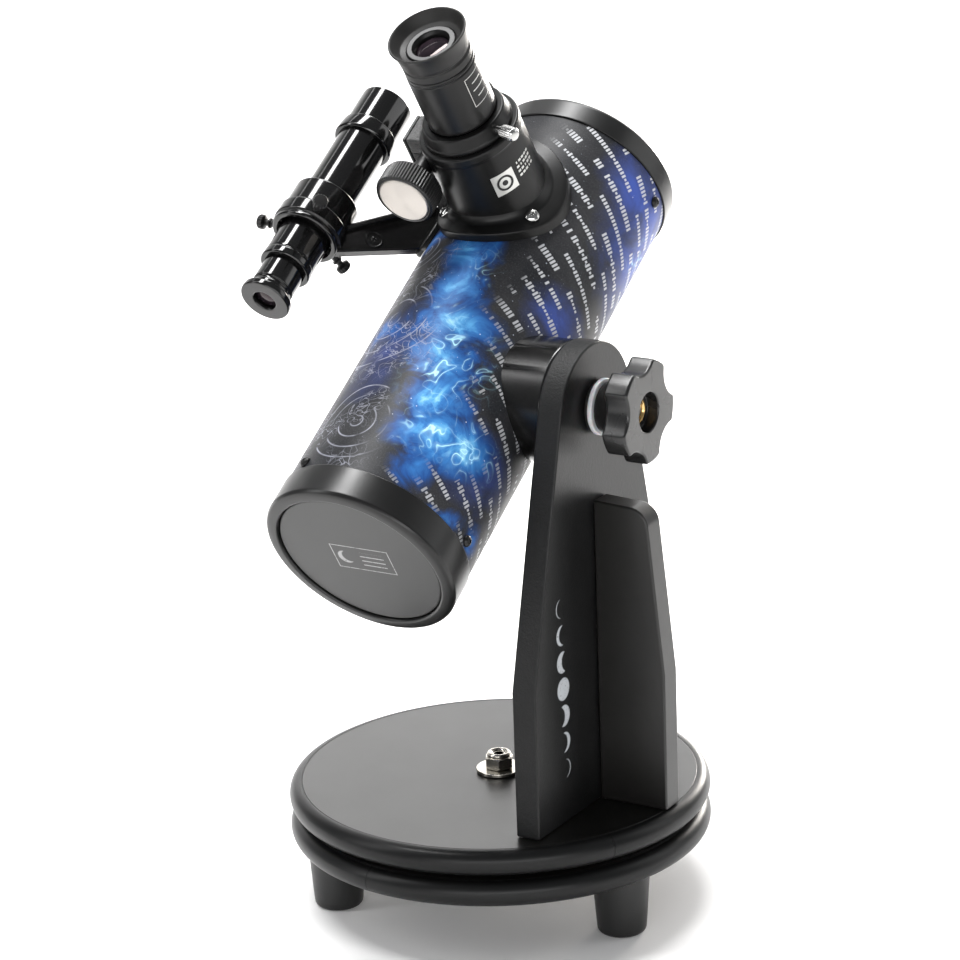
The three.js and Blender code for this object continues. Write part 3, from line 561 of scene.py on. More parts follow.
def chart_lines(s, uv, u, v):
    """Arcs about three centres, and curled outlines."""
    lines = []
    for at_u, at_v, radius, step in ((22, 2, 34, 8.5), (6, -66, 26, 6.5), (30, 52, 20, 5.0)):
        distance = s.reach(u, v, at_u, at_v)
        arc = s.span(s.off_middle(s.math("DIVIDE", distance, step)), 0.0, 0.55 / step, 1.0, 0.0)
        arc = s.times(arc, s.below(distance, radius))
        lines.append(s.times(arc, s.span(s.noise(0.05, 1, at=uv), 0.44, 0.5)))
    for scale, level in ((0.055, 9.0), (0.11, 5.0)):
        band = s.off_middle(s.times(s.noise(scale, 1.5, 0.45, at=uv, distort=1.1), level))
        lines.append(s.times(s.span(band, 0.0, 0.07, 0.9, 0.0), s.span(s.noise(0.035, 1, at=uv), 0.42, 0.55)))
    return s.union(lines)


ROW_SLANT = math.radians(-26)
ROW_STEP = 9.4
TICK_STEP = 1.9
GROUP_STEP = 8.2


def tick_rows(s, u, v):
    """Rows that run down to the right, of short strokes with gaps between groups."""
    run = s.plus(s.times(u, -math.cos(ROW_SLANT)), s.times(v, math.sin(ROW_SLANT)))
    rise = s.plus(s.times(u, math.sin(ROW_SLANT)), s.times(v, math.cos(ROW_SLANT)))
    row = s.math("DIVIDE", rise, ROW_STEP)
    index = s.math("FLOOR", row)
    offset = s.off_middle(row)
    tall = s.math("MULTIPLY_ADD", s.math("FLOORED_MODULO", index, 2.0), 0.05, 0.14)
    across = s.span(s.minus(tall, offset), -0.012, 0.012)
    step = s.math("DIVIDE", run, TICK_STEP)
    cell = s.add("ShaderNodeCombineXYZ", {"X": s.math("FLOOR", step), "Y": index}).outputs[0]
    pick = s.add("ShaderNodeTexWhiteNoise", {"Vector": cell}, noise_dimensions="2D").outputs["Value"]
    stroke = s.times(s.span(s.off_middle(step), 0.26, 0.36, 1.0, 0.0), s.above(pick, 0.1))
    dot = s.span(offset, 0.06, 0.09, 1.0, 0.0)
    small = s.above(pick, 0.82)
    mark = s.times(stroke, s.plus(s.times(small, dot), s.times(s.minus(1.0, small), across)))
    group = s.math("SINE", s.math("MULTIPLY_ADD", index, 2.1, s.math("DIVIDE", run, GROUP_STEP)))
    return s.times(mark, s.span(group, -0.78, -0.74))


satin = black_finish("satin_board", 0.006, 0.34, 1400, 0.2, 0.07, 0.08, 0.47, "satin_board")
vinyl = black_finish("edge_vinyl", 0.005, 0.36, 1200, 0.03, -0.03, 0.08, 0.22, "edge_vinyl")
moulded = black_finish("black_plastic", 0.007, 0.38, 1500, 0.12, shine=0.42)
foot_plastic = black_finish("foot_plastic", 0.01, 0.42, 1200, 0.15)
satin_ring = black_finish("satin_ring", 0.006, 0.3, 1600, 0.06)
focus_black = black_finish("focus_black", 0.005, 0.33, 1600, 0.06, shine=0.22)
gloss = black_finish("gloss_plastic", 0.004, 0.1, 900, 0.02, shine=0.48, slot="gloss_plastic")
bracket_gloss = ("black_plastic", gloss[1])
hub_gloss = black_finish("hub_gloss", 0.005, 0.2, 900, 0.03)
knob_plastic = black_finish("knob_plastic", 0.008, 0.27, 1300, 0.1, shine=0.5)
anodised = black_finish("black_metal", 0.006, 0.34, 1800, 0.06, shine=0.28, slot="black_metal")
soft_rubber = black_finish("rubber", 0.011, 0.5, 1500, 0.2, warm=0.04, slot="rubber")
flat_black = black_finish("inner_black", 0.006, 0.7, 1200, 0.2)
eye_plate = black_finish("eye_plate", 0.13, 0.45, 1500, 0.05, slot="black_metal")
bright = metal_finish("nickel", "nickel", (0.62, 0.59, 0.53), 0.2, 0.02)
chromed = metal_finish("chrome", "chrome", (0.5, 0.5, 0.49), 0.16, 0.015)
pale_print = metal_finish("pale_print", "brushed_steel", (0.62, 0.62, 0.6), 0.42)
brass = metal_finish("brass", "brass", (0.72, 0.48, 0.2), 0.22)
spun = spun_finish()
milky = frosted_finish()
casting = rough_casting()
lens_glass = lens_finish()
mirror_coat = mirror_finish()
arm_skin = arm_finish()
cover_skin = cover_finish()
print_skin = tube_print()

# ---- base ----


def levels(node):
    low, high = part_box(node)
    return low.z / MM, high.z / MM


def over(node):
    """A frame straight under the middle of a node."""
    spot = middle(node)
    return Matrix.Translation((spot.x, spot.y, 0))


def board(node, body):
    low, high = levels(node)
    dress(turned(node + "_look", BASE, "z", sleeve(4.4, 98.5, low, high), TURNS, 0.3), body, satin, node)


TRIM_GAP = 0.13  # degrees left open where the two ends of a moulding meet


def board_trim(node, body, seam):
    low, high = levels(node)
    centre, half = (low + high) / 2, (high - low) / 2
    profile = [(98.6, high - 0.1), (98.6, low + 0.1)]
    for i in range(25):
        angle = math.pi * (i / 24 - 0.5)
        bulge = 6.1 * math.cos(angle) ** 0.9 if 0 < i < 24 else 0
        profile.append((98.9 + bulge, centre + half * math.sin(angle)))
    count = TURNS * 2
    angles = [math.radians(seam + TRIM_GAP / 2 + (360 - TRIM_GAP) * i / count) for i in range(count + 1)]
    dress(swept(node + "_look", BASE, profile, angles, 42), body, vinyl, node)


def foot(node):
    top = levels(node)[1]
    profile = [(0, 0), (10.4, 0), (12, 1.6), (12.3, 5), (14.2, top), (0, top)]
    dress(turned(node + "_look", over(node), "z", profile, FINE, 1.4), "base", foot_plastic, node)


def azimuth_fastener():
    low, high = levels("azimuth_washer")
    washer = turned("washer_look", BASE, "z", sleeve(4.4, 11.5, low, high), FINE, 0.35)
    dress(washer, "base", bright, "azimuth_washer")
    low, high = levels("azimuth_lock_nut")
    hexagon = slab("nut_look", BASE, "z", circle(13 / math.sqrt(3), 6), low, low + 5.8, 0.15)
    profile = [
        (0, low - 1), (6.3, low - 0.2), (7.9, low + 0.8), (7.9, low + 4.9), (6.2, low + 6), (0, low + 6),
    ]
    cone = turned("nut_cone", BASE, "z", profile, FINE, 0)
    nut = combine(baked(hexagon), [baked(cone)], "INTERSECT")
    profile = [
        (4.1, low + 5), (5.9, low + 5), (6.0, high - 0.9), (5.2, high), (4.5, high - 0.1), (4.1, high - 0.5),
    ]
    collar = turned("nut_collar", BASE, "z", profile, FINE, 0.35)
    dress(nut, "base", bright, "azimuth_lock_nut")
    dress(collar, "base", bright)
    top = levels("azimuth_bolt")[1]
    thread = [(0, low - 1), (3.9, low - 1)]
    for i in range(9):
        thread += [(3.4, low + i * 0.9 - 0.1), (3.95, low + i * 0.9 + 0.35)]
    thread += [(3.2, top - 0.4), (2.6, top), (0, top)]
    dress(turned("bolt_end", BASE, "z", thread, SMALL, 0.1), "base", bright)


# ---- arm ----


def arc(centre_a, centre_b, radius, start, stop, count):
    turns = [start + (stop - start) * i / count for i in range(count + 1)]
    return [(centre_a + radius * math.cos(t), centre_b + radius * math.sin(t)) for t in turns]


def reach_x(node, origin):
    """Where a piece starts and ends along X from an origin, in millimetres."""
    low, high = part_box(node)
    return (low.x - origin.x) / MM, (high.x - origin.x) / MM


def arm_panel():
    low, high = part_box("arm_panel")
    half, bottom = (high.y - low.y) / 2 / MM, low.z / MM
    kink, top_r, top_z = 133.5, 34.5, 254.3
    reach = math.hypot(half, top_z - kink)
    side = math.atan2(kink - top_z, half) + math.acos(top_r / reach)
    outline = [(-half, bottom), (half, bottom), (half, kink)]
    outline += arc(0, top_z, top_r, side, math.pi - side, 72)
    outline += [(-half, kink)]
    panel = slab("arm_look", ARM, "x", outline, *reach_x("arm_panel", spin), 0.9, 30)
    dress(panel, "turntable", arm_skin, "arm_panel")
    low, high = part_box("brace_panel")
    inner, outer = reach_x("brace_panel", spin)
    bottom, top = low.z / MM, 212
    lean = math.atan2(outer - 92.6, top - 130)
    outline = [(inner, bottom), (outer, bottom), (outer, 130)]
    outline += arc(82.6, top - 10, 10, lean, math.pi / 2, 24)
    outline += [(inner, top + 1)]
    rib = slab("brace_look", ARM, "y", outline, (low.y - swing.y) / MM, (high.y - swing.y) / MM, 0.9, 30)
    dress(rib, "turntable", satin, "brace_panel")


# ---- altitude axle ----


def altitude_parts():
    tube_middle = TUBE.translation
    hub_face = reach_x("altitude_hub", tube_middle)[1]
    drum = turned("hub_look", TUBE, "x", sleeve(0, 30, 33, hub_face), TURNS, 1.6)
    saddle = turned("hub_saddle", TUBE, "y", sleeve(0, TUBE_R + 0.05, -60, 60), TURNS * 2, 0)
    dress(combine(baked(drum), [baked(saddle)], "DIFFERENCE", 34), "tube", hub_gloss, "altitude_hub")
    # The black spacer fills the gap between the arm and the washer, and its black disc also stands in for the
    # knob's shadow on the arm there: a painted shadow.
    near, far = reach_x("altitude_spacer", tube_middle)
    spacer = turned("spacer_look", TUBE, "x", sleeve(4.5, 12.5, near, far), FINE, 0.4)
    dress(spacer, "tube", soft_rubber, "altitude_spacer")
    near, far = reach_x("altitude_washer", tube_middle)
    washer = turned("washer_milky", TUBE, "x", sleeve(4.5, 13.6, near, far), TURNS, 0.7)
    dress(washer, "tube", milky, "altitude_washer")
    near, face = reach_x("altitude_knob", tube_middle)
    altitude_knob(near, face)
    insert = [(4.2, face - 12), (6.25, face - 12), (6.25, face - 5.6), (5.9, face - 5.1), (4.9, face - 5.1)]
    for i in range(6):
        insert += [(4.6, face - 5.6 - i), (4.2, face - 6.1 - i)]
    dress(turned("insert_look", TUBE, "x", insert, FINE, 0.12), "altitude_knob", brass, "knob_insert")
    end = face - 5.9
    axle = [(0, end - 30), (4, end - 30), (4, end - 0.9), (3.1, end), (0, end)]
    dress(turned("axle_end", TUBE, "x", axle, SMALL, 0.2), "tube", bright, "altitude_bolt")


KNOB_LOBES = 5
KNOB_R = 25.2
KNOB_VALLEY = 19.8
KNOB_HOLLOW = 14.4
KNOB_TURN = 48.5
KNOB_THICK = 12.5


def knob_reach(angle):
    """Outline radius at an angle from the middle of a lobe, with hollows between lobes and eased corners."""
    share = math.pi / KNOB_LOBES
    off = share - abs((angle + share) % (2 * share) - share)
    centre = KNOB_VALLEY + KNOB_HOLLOW
    side = centre * math.sin(off)
    if abs(side) >= KNOB_HOLLOW:
        return KNOB_R
    hollow = centre * math.cos(off) - math.sqrt(KNOB_HOLLOW**2 - side**2)
    ease = 1.1
    mix = max(ease - abs(KNOB_R - hollow), 0) / ease
    return min(KNOB_R, hollow) - mix * mix * ease / 4


def altitude_knob(near, face):
    count = KNOB_LOBES * 48
    angles = [2 * math.pi * i / count for i in range(count)]
    turned_to = [(math.sin(t), -math.cos(t)) for t in angles]
    reach = [knob_reach(t - math.radians(KNOB_TURN)) for t in angles]

    def shrunk(depth):
        return [(a * (r - depth), b * (r - depth)) for (a, b), r in zip(turned_to, reach)]

    def hoop(radius):
        return [(a * radius, b * radius) for a, b in turned_to]

    back = face - KNOB_THICK
    shape = [
        (hoop(8), near), (hoop(11.6), near), (hoop(12), near + 0.4), (hoop(12.2), near + 5),
        (hoop(14), back - 0.4), (hoop(14.6), back), (shrunk(1.6), back), (shrunk(0.7), back + 0.25),
        (shrunk(0.2), back + 0.8), (shrunk(0), back + 1.5), (shrunk(0), face - 1.3),
        (shrunk(0.12), face - 0.7), (shrunk(0.4), face - 0.25), (shrunk(0.9), face - 0.03),
        (shrunk(1.5), face), (hoop(10.3), face), (hoop(9.8), face - 0.2), (hoop(9.5), face - 0.7),
        (hoop(9.3), face - 5.6), (hoop(8.9), face - 6.0), (hoop(6.6), face - 6.0), (hoop(6.3), face - 6.3),
        (hoop(6.3), face - 13.5),
    ]
    knob = lofted("knob_look", TUBE, "x", shape, 50)
    dress(knob, "altitude_knob", knob_plastic, "altitude_knob")


# ---- tube ----


def blob(u, v, at_u, at_v, wide, tall, lean=0.0):
    """Soft patch of print: 1 at its middle, fading to 0."""
    c, s = math.cos(math.radians(lean)), math.sin(math.radians(lean))
    a, b = u - at_u, v - at_v
    a, b = (a * c + b * s) / wide, (b * c - a * s) / tall
    return math.exp(-(a * a + b * b))


# Patches of print: strength, place round and along the tube, width, height and, where it leans, its turn.
CLOUD = (
    (1.1, -1, 46, 17, 17), (1.15, -6, 22, 17, 19), (1.15, -12, 2, 27, 15), (1.25, -18, -19, 21, 20),
    (1.2, -24, -41, 19, 17), (1.35, -38, -60, 28, 16, -12), (0.9, -30, -80, 13, 15), (0.8, 34, 62, 14, 12),
    (0.9, -80, -88, 11, 12), (0.7, 20, -6, 20, 16), (0.85, 16, 64, 26, 8), (0.75, -56, -94, 22, 8, -30),
)
HAZE = (
    (1.1, -86, 112, 26, 34), (1.0, -64, 128, 18, 18), (0.9, -62, 32, 18, 14, 20), (0.45, -60, -60, 24, 18),
    (0.4, 14, -20, 16, 30), (0.9, 100, 40, 40, 60), (0.7, 120, -50, 30, 40),
)
GLOW = (
    (1.2, -24, -16, 13, 13), (0.9, -20, -30, 12, 10), (1.3, -40, -58, 20, 9, -8), (0.6, -8, 4, 12, 10),
    (0.9, -86, 110, 10, 10), (0.5, -10, 30, 9, 14),
)


def print_layers(u, v):
    """Strength of each printed layer at a place on the tube, in millimetres round and along it."""

    def strongest(patches):
        return max(strength * blob(u, v, *patch) for strength, *patch in patches)

    def right_of(edge, soft):
        return 1 / (1 + math.exp(-(u - edge) / soft))

    cloud = strongest(CLOUD)
    chart = right_of(-2 + 12 * math.sin(v * 0.05), 2.0) if v < 62 else 0.0
    if v < -40:
        chart = max(chart, right_of(-10 - (v + 40) * 0.1, 2.0))
    edge = -22 - 10 * math.sin((v - 10) * 0.045) if v > -40 else -50 + (v + 40) * -0.55
    rows = (1 - right_of(edge, 1.5)) * (1 - min(1, cloud * 1.35))
    return {"cloud": cloud, "haze": strongest(HAZE), "glow": strongest(GLOW), "chart": chart, "rows": rows}


def tube_shell():
    low_v, high_v = -93.9, 140.8
    rows, columns, outer, inner = 150, 240, TUBE_R, TUBE_R - 0.5
    bm = bmesh.new()
    layers = {k: bm.verts.layers.float.new(k) for k in PRINT_LAYERS}
    uv = bm.loops.layers.uv.new("print")
    grid = []
    for j in range(rows + 1):
        v = low_v + (high_v - low_v) * j / rows
        line = []
        for i in range(columns):
            turn = math.pi * (2 * i / columns - 1)
            vert = bm.verts.new(Vector((-outer * math.sin(turn), v, outer * math.cos(turn))) * MM)
            for key, value in print_layers(outer * turn, v).items():
                vert[layers[key]] = value
            line.append(vert)
        grid.append(line)
    to_inner = Matrix.Diagonal((inner / outer, 1, inner / outer))
    hidden = [[bm.verts.new(to_inner @ vert.co) for vert in line] for line in (grid[0], grid[-1])]
    for j in range(rows):
        for i in range(columns):
            k = (i + 1) % columns
            face = bm.faces.new((grid[j][i], grid[j][k], grid[j + 1][k], grid[j + 1][i]))
            for loop, (column, row) in zip(face.loops, ((i, j), (i + 1, j), (i + 1, j + 1), (i, j + 1))):
                turn = math.pi * (2 * column / columns - 1)
                loop[uv].uv = (outer * turn, low_v + (high_v - low_v) * row / rows)
    for one, two in ((hidden[0], grid[0]), (grid[-1], hidden[1]), (hidden[1], hidden[0])):
        bridge(bm, one, two)
    dress(finish_mesh("tube_skin", bm, TUBE), "tube", print_skin, "tube_shell")
    lining = turned("tube_lining", TUBE, "y", sleeve(46.8, 47.45, low_v, high_v), TURNS, 0)
    dress(lining, "tube", flat_black)


def round_tube(angle, y):
    """A frame on the tube whose Z points outwards at an angle from the top."""
    return TUBE @ Matrix.Translation((0, y * MM, 0)) @ turn_about("y", -angle)


def tube_ends():
    front = [
        (43.2, 129.5), (46.5, 129.5), (46.5, 140.95), (48.9, 140.95), (48.9, 151.6), (48.2, 153),
        (46.8, 153.6), (43.8, 153.6), (43.2, 153),
    ]
    dress(turned("front_ring_look", TUBE, "y", front, TURNS * 2, 0.6), "tube", satin_ring, "front_ring")
    cell = [
        (42.2, -111.2), (42.9, -111.9), (46.2, -111.9), (48.0, -111.2), (48.9, -109.6), (48.9, -94.1),
        (46.5, -94.1), (46.5, -84), (44.2, -84), (44.2, -94.4), (38.3, -95.2), (38.3, -104), (30, -104),
        (30, -107.2), (42.2, -107.2),
    ]
    dress(turned("mirror_cell_look", TUBE, "y", cell, TURNS * 2, 0.5), "tube", satin_ring, "mirror_cell")
    cover = [(0, -110.6), (41.2, -110.6), (41.8, -110.1), (41.8, -107.5), (0, -107.5)]
    dress(turned("rear_cover_look", TUBE, "y", cover, TURNS, 0.4), "tube", cover_skin, "rear_cover")
    glass = [(0, -103.7), (38, -103.7), (38, -95.1), (37.3, -94.6)]
    glass += [(r, -95.7 + r * r / 1200) for r in (36, 30, 24, 18, 12, 6, 0)]
    dress(turned("main_mirror_look", TUBE, "y", glass, TURNS, 0), "tube", mirror_coat, "primary_mirror")
    for name, y in (("cell_screw", -90), ("front_screw", 134.3)):
        for i, angle in enumerate((30, 150, 270)):
            node = f"{name}_{i + 1}"
            pan_screw(node + "_look", round_tube(angle, y), 48.1, "tube", anodised, node)


def pan_screw(name, matrix, seat, body, finish, *nodes, size=1.0):
    """A round-headed screw with a cross recess, standing on Z."""
    dome = [(2.9, 0), (2.8, 0.8), (2.1, 1.7), (1.0, 2.1), (0, 2.15)]
    profile = [(0, seat - 3), (1.4, seat - 3), (1.4, seat)] + [(r * size, seat + h) for r, h in dome]
    head = turned(name, matrix, "z", profile, SMALL, 0.3)
    head = baked(head)
    slots = []
    for a, b in ((1.5, 0.32), (0.32, 1.5)):
        slots.append(block(name + "_slot", matrix, (-a, -b, seat + 1.1), (a, b, seat + 3), 0.05))
    dress(combine(head, [baked(s) for s in slots], "DIFFERENCE", 40), body, finish, *nodes)


# ---- focuser ----


def saddle_plate(name, matrix, half_x, half_y, hole, top_r, low_r, rise=0.0):
    """An oval plate bent over the tube, with a round hole, a rounded rim and a fillet up to the hole."""
    bm = bmesh.new()
    count = 160
    section = [(0.36 * k / 8, top_r + rise * (1 - k / 8) ** 2) for k in range(9)]
    section += [
        (0.7, top_r), (0.93, top_r), (0.965, top_r - 0.12), (0.985, top_r - 0.45), (1.0, top_r - 1.1),
        (1.0, low_r), (0.6, low_r), (0.0, low_r),
    ]
    rings = []
    for t, r in section:
        ring = []
        for i in range(count):
            angle = 2 * math.pi * i / count
            x = hole * math.cos(angle) * (1 - t) + half_x * math.cos(angle) * t
            y = hole * math.sin(angle) * (1 - t) + half_y * math.sin(angle) * t
            ring.append(bm.verts.new(Vector((x, y, math.sqrt(r * r - x * x))) * MM))
        rings.append(ring)
    for one, two in zip(rings, rings[1:] + rings[:1]):
        bridge(bm, one, two)
    return finish_mesh(name, bm, matrix, 45)


def rack_slot():
    """Cutter for the groove that the drawtube's rack runs in."""
    return baked(block("rack_slot", FOCUSER, (-19.8, -3.6, 20), (-10, 3.6, 110), 0.05))


def focuser_parts():
    plate = saddle_plate("flange_look", FOCUSER, 33.5, 34, 24.5, 53, 48.35, 3.6)
    dress(plate, "tube", focus_black, "focuser_body")
    profile = [
        (19.0, 50), (24.8, 50), (24.8, 86.6), (24.9, 87.6), (25.3, 88.4), (25.3, 92), (24.7, 92.7),
        (19.0, 92.7),
    ]
    barrel = baked(turned("focuser_barrel", FOCUSER, "z", profile, TURNS, 0.45))
    reliefs = []
    for side in (-1, 1):
        reliefs.append(
            baked(turned("boss_relief", SHAFT, "y", sleeve(0, 5.3, side * 8.5, side * 30), SMALL, 0))
        )
    reliefs.append(rack_slot())
    dress(combine(barrel, reliefs, "DIFFERENCE", 34), "tube", focus_black)
    housing = baked(block("pinion_housing", FOCUSER, (-33.2, -8.8, 34), (-17.8, 8.8, 89.2), 0.9))
    saddle = turned("housing_saddle", FOCUSER, "y", sleeve(0, TUBE_R + 0.1, -60, 60), TURNS * 2, 0)
    seams = []
    for side in (-1, 1):
        for z in (74.8, 79.8):
            low, high = (-40, side * 8.8 - 0.7, z), (-10, side * 8.8 + 0.7, z + 0.9)
            seams.append(baked(block("housing_seam", FOCUSER, low, high, 0.05)))
    cavity = baked(block("pinion_cavity", FOCUSER, (-40, -6.4, SHAFT_Z - 5), (-10, 6.4, SHAFT_Z + 5), 0.05))
    bore = baked(turned("shaft_bore", SHAFT, "y", sleeve(0, 2.5, -12, 12), SMALL, 0))
    cuts = [baked(saddle), *seams, rack_slot(), cavity, bore]
    dress(combine(housing, cuts, "DIFFERENCE", 34), "tube", casting)
    cover = block("pinion_cover_look", FOCUSER, (-35.1, -8.8, 44), (-33.4, 8.8, 89.2), 0.5)
    dress(cover, "tube", casting, "pinion_cover")
    for i, angle in enumerate((-28, 92, 212)):
        x, y = (27.8 * f(math.radians(angle)) for f in (math.cos, math.sin))
        lean = math.degrees(math.asin(x / 53))
        matrix = FOCUSER @ Matrix.Translation((0, y * MM, 0)) @ turn_about("y", lean)
        node = f"focuser_screw_{i + 1}"
        pan_screw(node + "_look", matrix, 53.1, "tube", chromed, node, size=1.32)
    emblem()
    collar = [
        (16.1, 48.6), (17.8, 48.6), (17.8, 92.85), (22.6, 92.85), (22.6, 94.8), (22.0, 95.6), (20.9, 99.9),
        (20.2, 101), (17.5, 101), (16.1, 99.8),
    ]
    dress(turned("drawtube_look", FOCUSER, "z", collar, TURNS, 0.5), "drawtube", focus_black, "drawtube")
    pitch = 2 * math.pi * 4 / 10
    teeth = [(-17.2, 49), (-17.2, 90), (-17.9, 90)]
    for i in range(3, -12, -1):
        at = SHAFT_Z + (i + 0.5) * pitch
        teeth += [(-17.9, at + 0.62), (-19.0, at + 0.38), (-19.0, at - 0.38), (-17.9, at - 0.62)]
    teeth += [(-17.9, 49)]
    dress(slab("rack_look", FOCUSER, "y", teeth, -2.8, 2.8, 0.1), "drawtube", moulded)
    screw = FOCUSER @ turn_about("z", -16) @ Matrix.Translation((0, 0, 97 * MM))
    thumbscrew(
        "eyepiece_thumbscrew_look", screw, 16.1, 25.8, 33.9, 2.0, 3.5, "eyepiece_screw", chromed,
        "eyepiece_thumbscrew",
    )


def wrapped(name, radius, turn, half_wide, low, high, thick, body="tube"):
    """A thin printed patch that follows the side of the focuser or the eyepiece."""
    rows = [(radius, low), (radius, high), (radius + thick, high), (radius + thick, low)]
    count = 24
    angles = [math.radians(turn) + half_wide / radius * (2 * i / count - 1) for i in range(count + 1)]
    dress(swept(name, FOCUSER, rows, angles, 30), body, pale_print)


EMBLEM_TURN = -37.5
EMBLEM_SKIN = 24.75


def emblem():
    """A plain silver square with a dark ring and dot, and rows of small marks beside it."""
    side = FOCUSER @ turn_about("z", EMBLEM_TURN) @ Matrix.Translation((0, 0, 70.7 * MM))
    wrapped("emblem_plate", EMBLEM_SKIN, EMBLEM_TURN, 6.0, 64.7, 76.7, 0.16)
    ring = turned("emblem_ring", side, "x", sleeve(3.2, 4.3, 24.3, 25.05), SMALL, 0.05)
    dress(ring, "tube", satin_ring)
    dot = turned("emblem_dot", side, "x", sleeve(0, 1.5, 24.6, 25.02), SMALL, 0.05)
    dress(dot, "tube", satin_ring)
    for row in range(4):
        for k in range(5):
            wide = 0.85 if (row * 3 + k * 2) % 5 else 0.35
            turn = EMBLEM_TURN + 22 + k * 5.4
            low = 75.4 - row * 2.5
            wrapped("emblem_mark", EMBLEM_SKIN, turn, wide, low, low + 1.2, 0.12)


def knurled(radius, teeth, depth, sides):
    """An outline with fine ribs."""
    turns = [2 * math.pi * i / sides for i in range(sides)]
    reach = [radius - depth * (0.5 - 0.5 * math.cos(t * teeth)) for t in turns]
    return [(r * math.cos(t), r * math.sin(t)) for t, r in zip(turns, reach)]


def ribbed(name, matrix, axis, rows, ribs, crease):
    """A turned piece of (radius, height) rows, which takes the ribbed outline where the radius is None."""
    levels = [(ribs if r is None else circle(r, len(ribs)), h) for r, h in rows]
    return lofted(name, matrix, axis, levels, crease)


def thumbscrew(name, matrix, tip, neck, end, shank_r, head_r, body, finish, *nodes):
    rows = [
        (0.4, tip), (shank_r - 0.4, tip), (shank_r, tip + 0.5), (shank_r, neck - 1.4),
        (shank_r + 0.5, neck - 1.0), (shank_r + 0.5, neck), (head_r - 0.7, neck), (None, neck + 0.5),
        (None, end - 1.1), (head_r - 0.6, end - 0.4), (head_r - 1.2, end), (0.4, end),
    ]
    dress(ribbed(name, matrix, "x", rows, knurled(head_r, 24, 0.1, 144), 40), body, finish, *nodes)


def spool_screw(name, matrix, tip, body, node):
    """A black thumbscrew: a small collar, a narrow neck and a wide ribbed disc."""
    rows = [
        (0.4, 0), (1.3, 0), (1.7, 0.4), (1.7, 7.8), (2.5, 8.0), (2.6, 8.8), (1.6, 9.3), (1.5, 11.2),
        (3.0, 11.6), (None, 12.0), (None, 14.3), (3.1, 14.9), (0.4, 15.0),
    ]
    rows = [(r, tip + h) for r, h in rows]
    dress(ribbed(name, matrix, "x", rows, knurled(3.7, 16, 0.3, 144), 40), body, anodised, node)


def focus_knobs():
    ribs = knurled(15.3, 60, 0.55, 480)
    rows = [
        (2.2, 9.3), (4.9, 9.3), (4.9, 26.2), (13.8, 26.5), (14.9, 27.2), (None, 28.2), (None, 37.5),
        (14.7, 38.4), (14.3, 39), (13.4, 39), (13.3, 38.6), (13.3, 37.9), (2.2, 37.9),
    ]
    cap = [(0, 37.9), (13.1, 37.9), (13.1, 39.0), (12.7, 39.3), (11.5, 39.4), (0, 39.4)]
    for end, turn in (("front", 0), ("rear", 180)):
        knob, disc = f"focus_knob_{end}", f"knob_cap_{end}"
        matrix = SHAFT @ turn_about("z", turn)
        dress(ribbed(knob + "_look", matrix, "y", rows, ribs, 60), "focus_shaft", moulded, knob)
        dress(turned(disc + "_look", matrix, "y", cap, TURNS, 0.3), "focus_shaft", spun, disc)


EYEPIECE_SKIN = 17.26


def eyepiece_label():
    """A fine line frame round a few rows of short strokes."""
    middle_turn, half, low, high, line = -2, 6.8, 112, 128.6, 0.3
    side = math.degrees(half / EYEPIECE_SKIN)
    for at in (low, high - line):
        wrapped("label_edge", EYEPIECE_SKIN, middle_turn, half, at, at + line, 0.1, "eyepiece")
    for at in (middle_turn - side, middle_turn + side):
        wrapped("label_edge", EYEPIECE_SKIN, at, line / 2, low, high, 0.1, "eyepiece")
    for row, wide in enumerate((3.6, 4.6, 3.0)):
        at = high - 4.6 - row * 4
        wrapped("label_row", EYEPIECE_SKIN, middle_turn, wide, at, at + 0.5, 0.1, "eyepiece")


def eyepiece_parts():
    eyepiece_label()
    low = 101.2
    body = [
        (13.4, 76.3), (15.3, 76.3), (15.8, 77), (15.8, low), (16.7, low), (17.3, low + 0.7), (17.3, 131.4),
        (16.9, 131.7), (16.9, 132.3), (17.3, 132.6), (17.2, 133.6), (16.8, 134.1), (12.4, 134.1),
        (12.4, 144.3), (11.9, 144.9), (9.9, 144.9), (9.4, 144.5), (8.5, 142.9), (8.3, 139), (7, 138),
        (13.4, 128),
    ]
    dress(turned("eyepiece_look", FOCUSER, "z", body, TURNS, 0.35), "eyepiece", anodised, "eyepiece_body")
    cup = [
        (12.45, 134.2), (17.1, 134.2), (17.1, 137.9), (16.5, 138.4), (16.5, 139.2), (17.1, 139.7),
        (17.4, 141.4), (17.5, 143.6), (18.2, 147.0), (19.4, 149.6), (19.6, 150.4), (19.0, 150.9),
        (18.3, 150.4), (16.6, 147.2), (15.2, 145.3), (12.45, 144.2),
    ]
    dress(turned("eyecup_look", FOCUSER, "z", cup, TURNS, 0.5), "eyepiece", soft_rubber, "eyepiece_eyecup")
    dress(
        turned("eye_ring", FOCUSER, "z", sleeve(9.6, 11.8, 144.85, 145.05), FINE, 0.08), "eyepiece", eye_plate
    )
    lens = [(0, 139.4), (8.1, 139.9), (8.1, 141.6), (7, 142.2), (5, 142.7), (2.5, 143.0), (0, 143.1)]
    dress(
        turned("eye_lens_look", FOCUSER, "z", lens, FINE, 0, crease=60), "eyepiece", lens_glass,
        "eyepiece_lens",
    )


# ---- finder ----


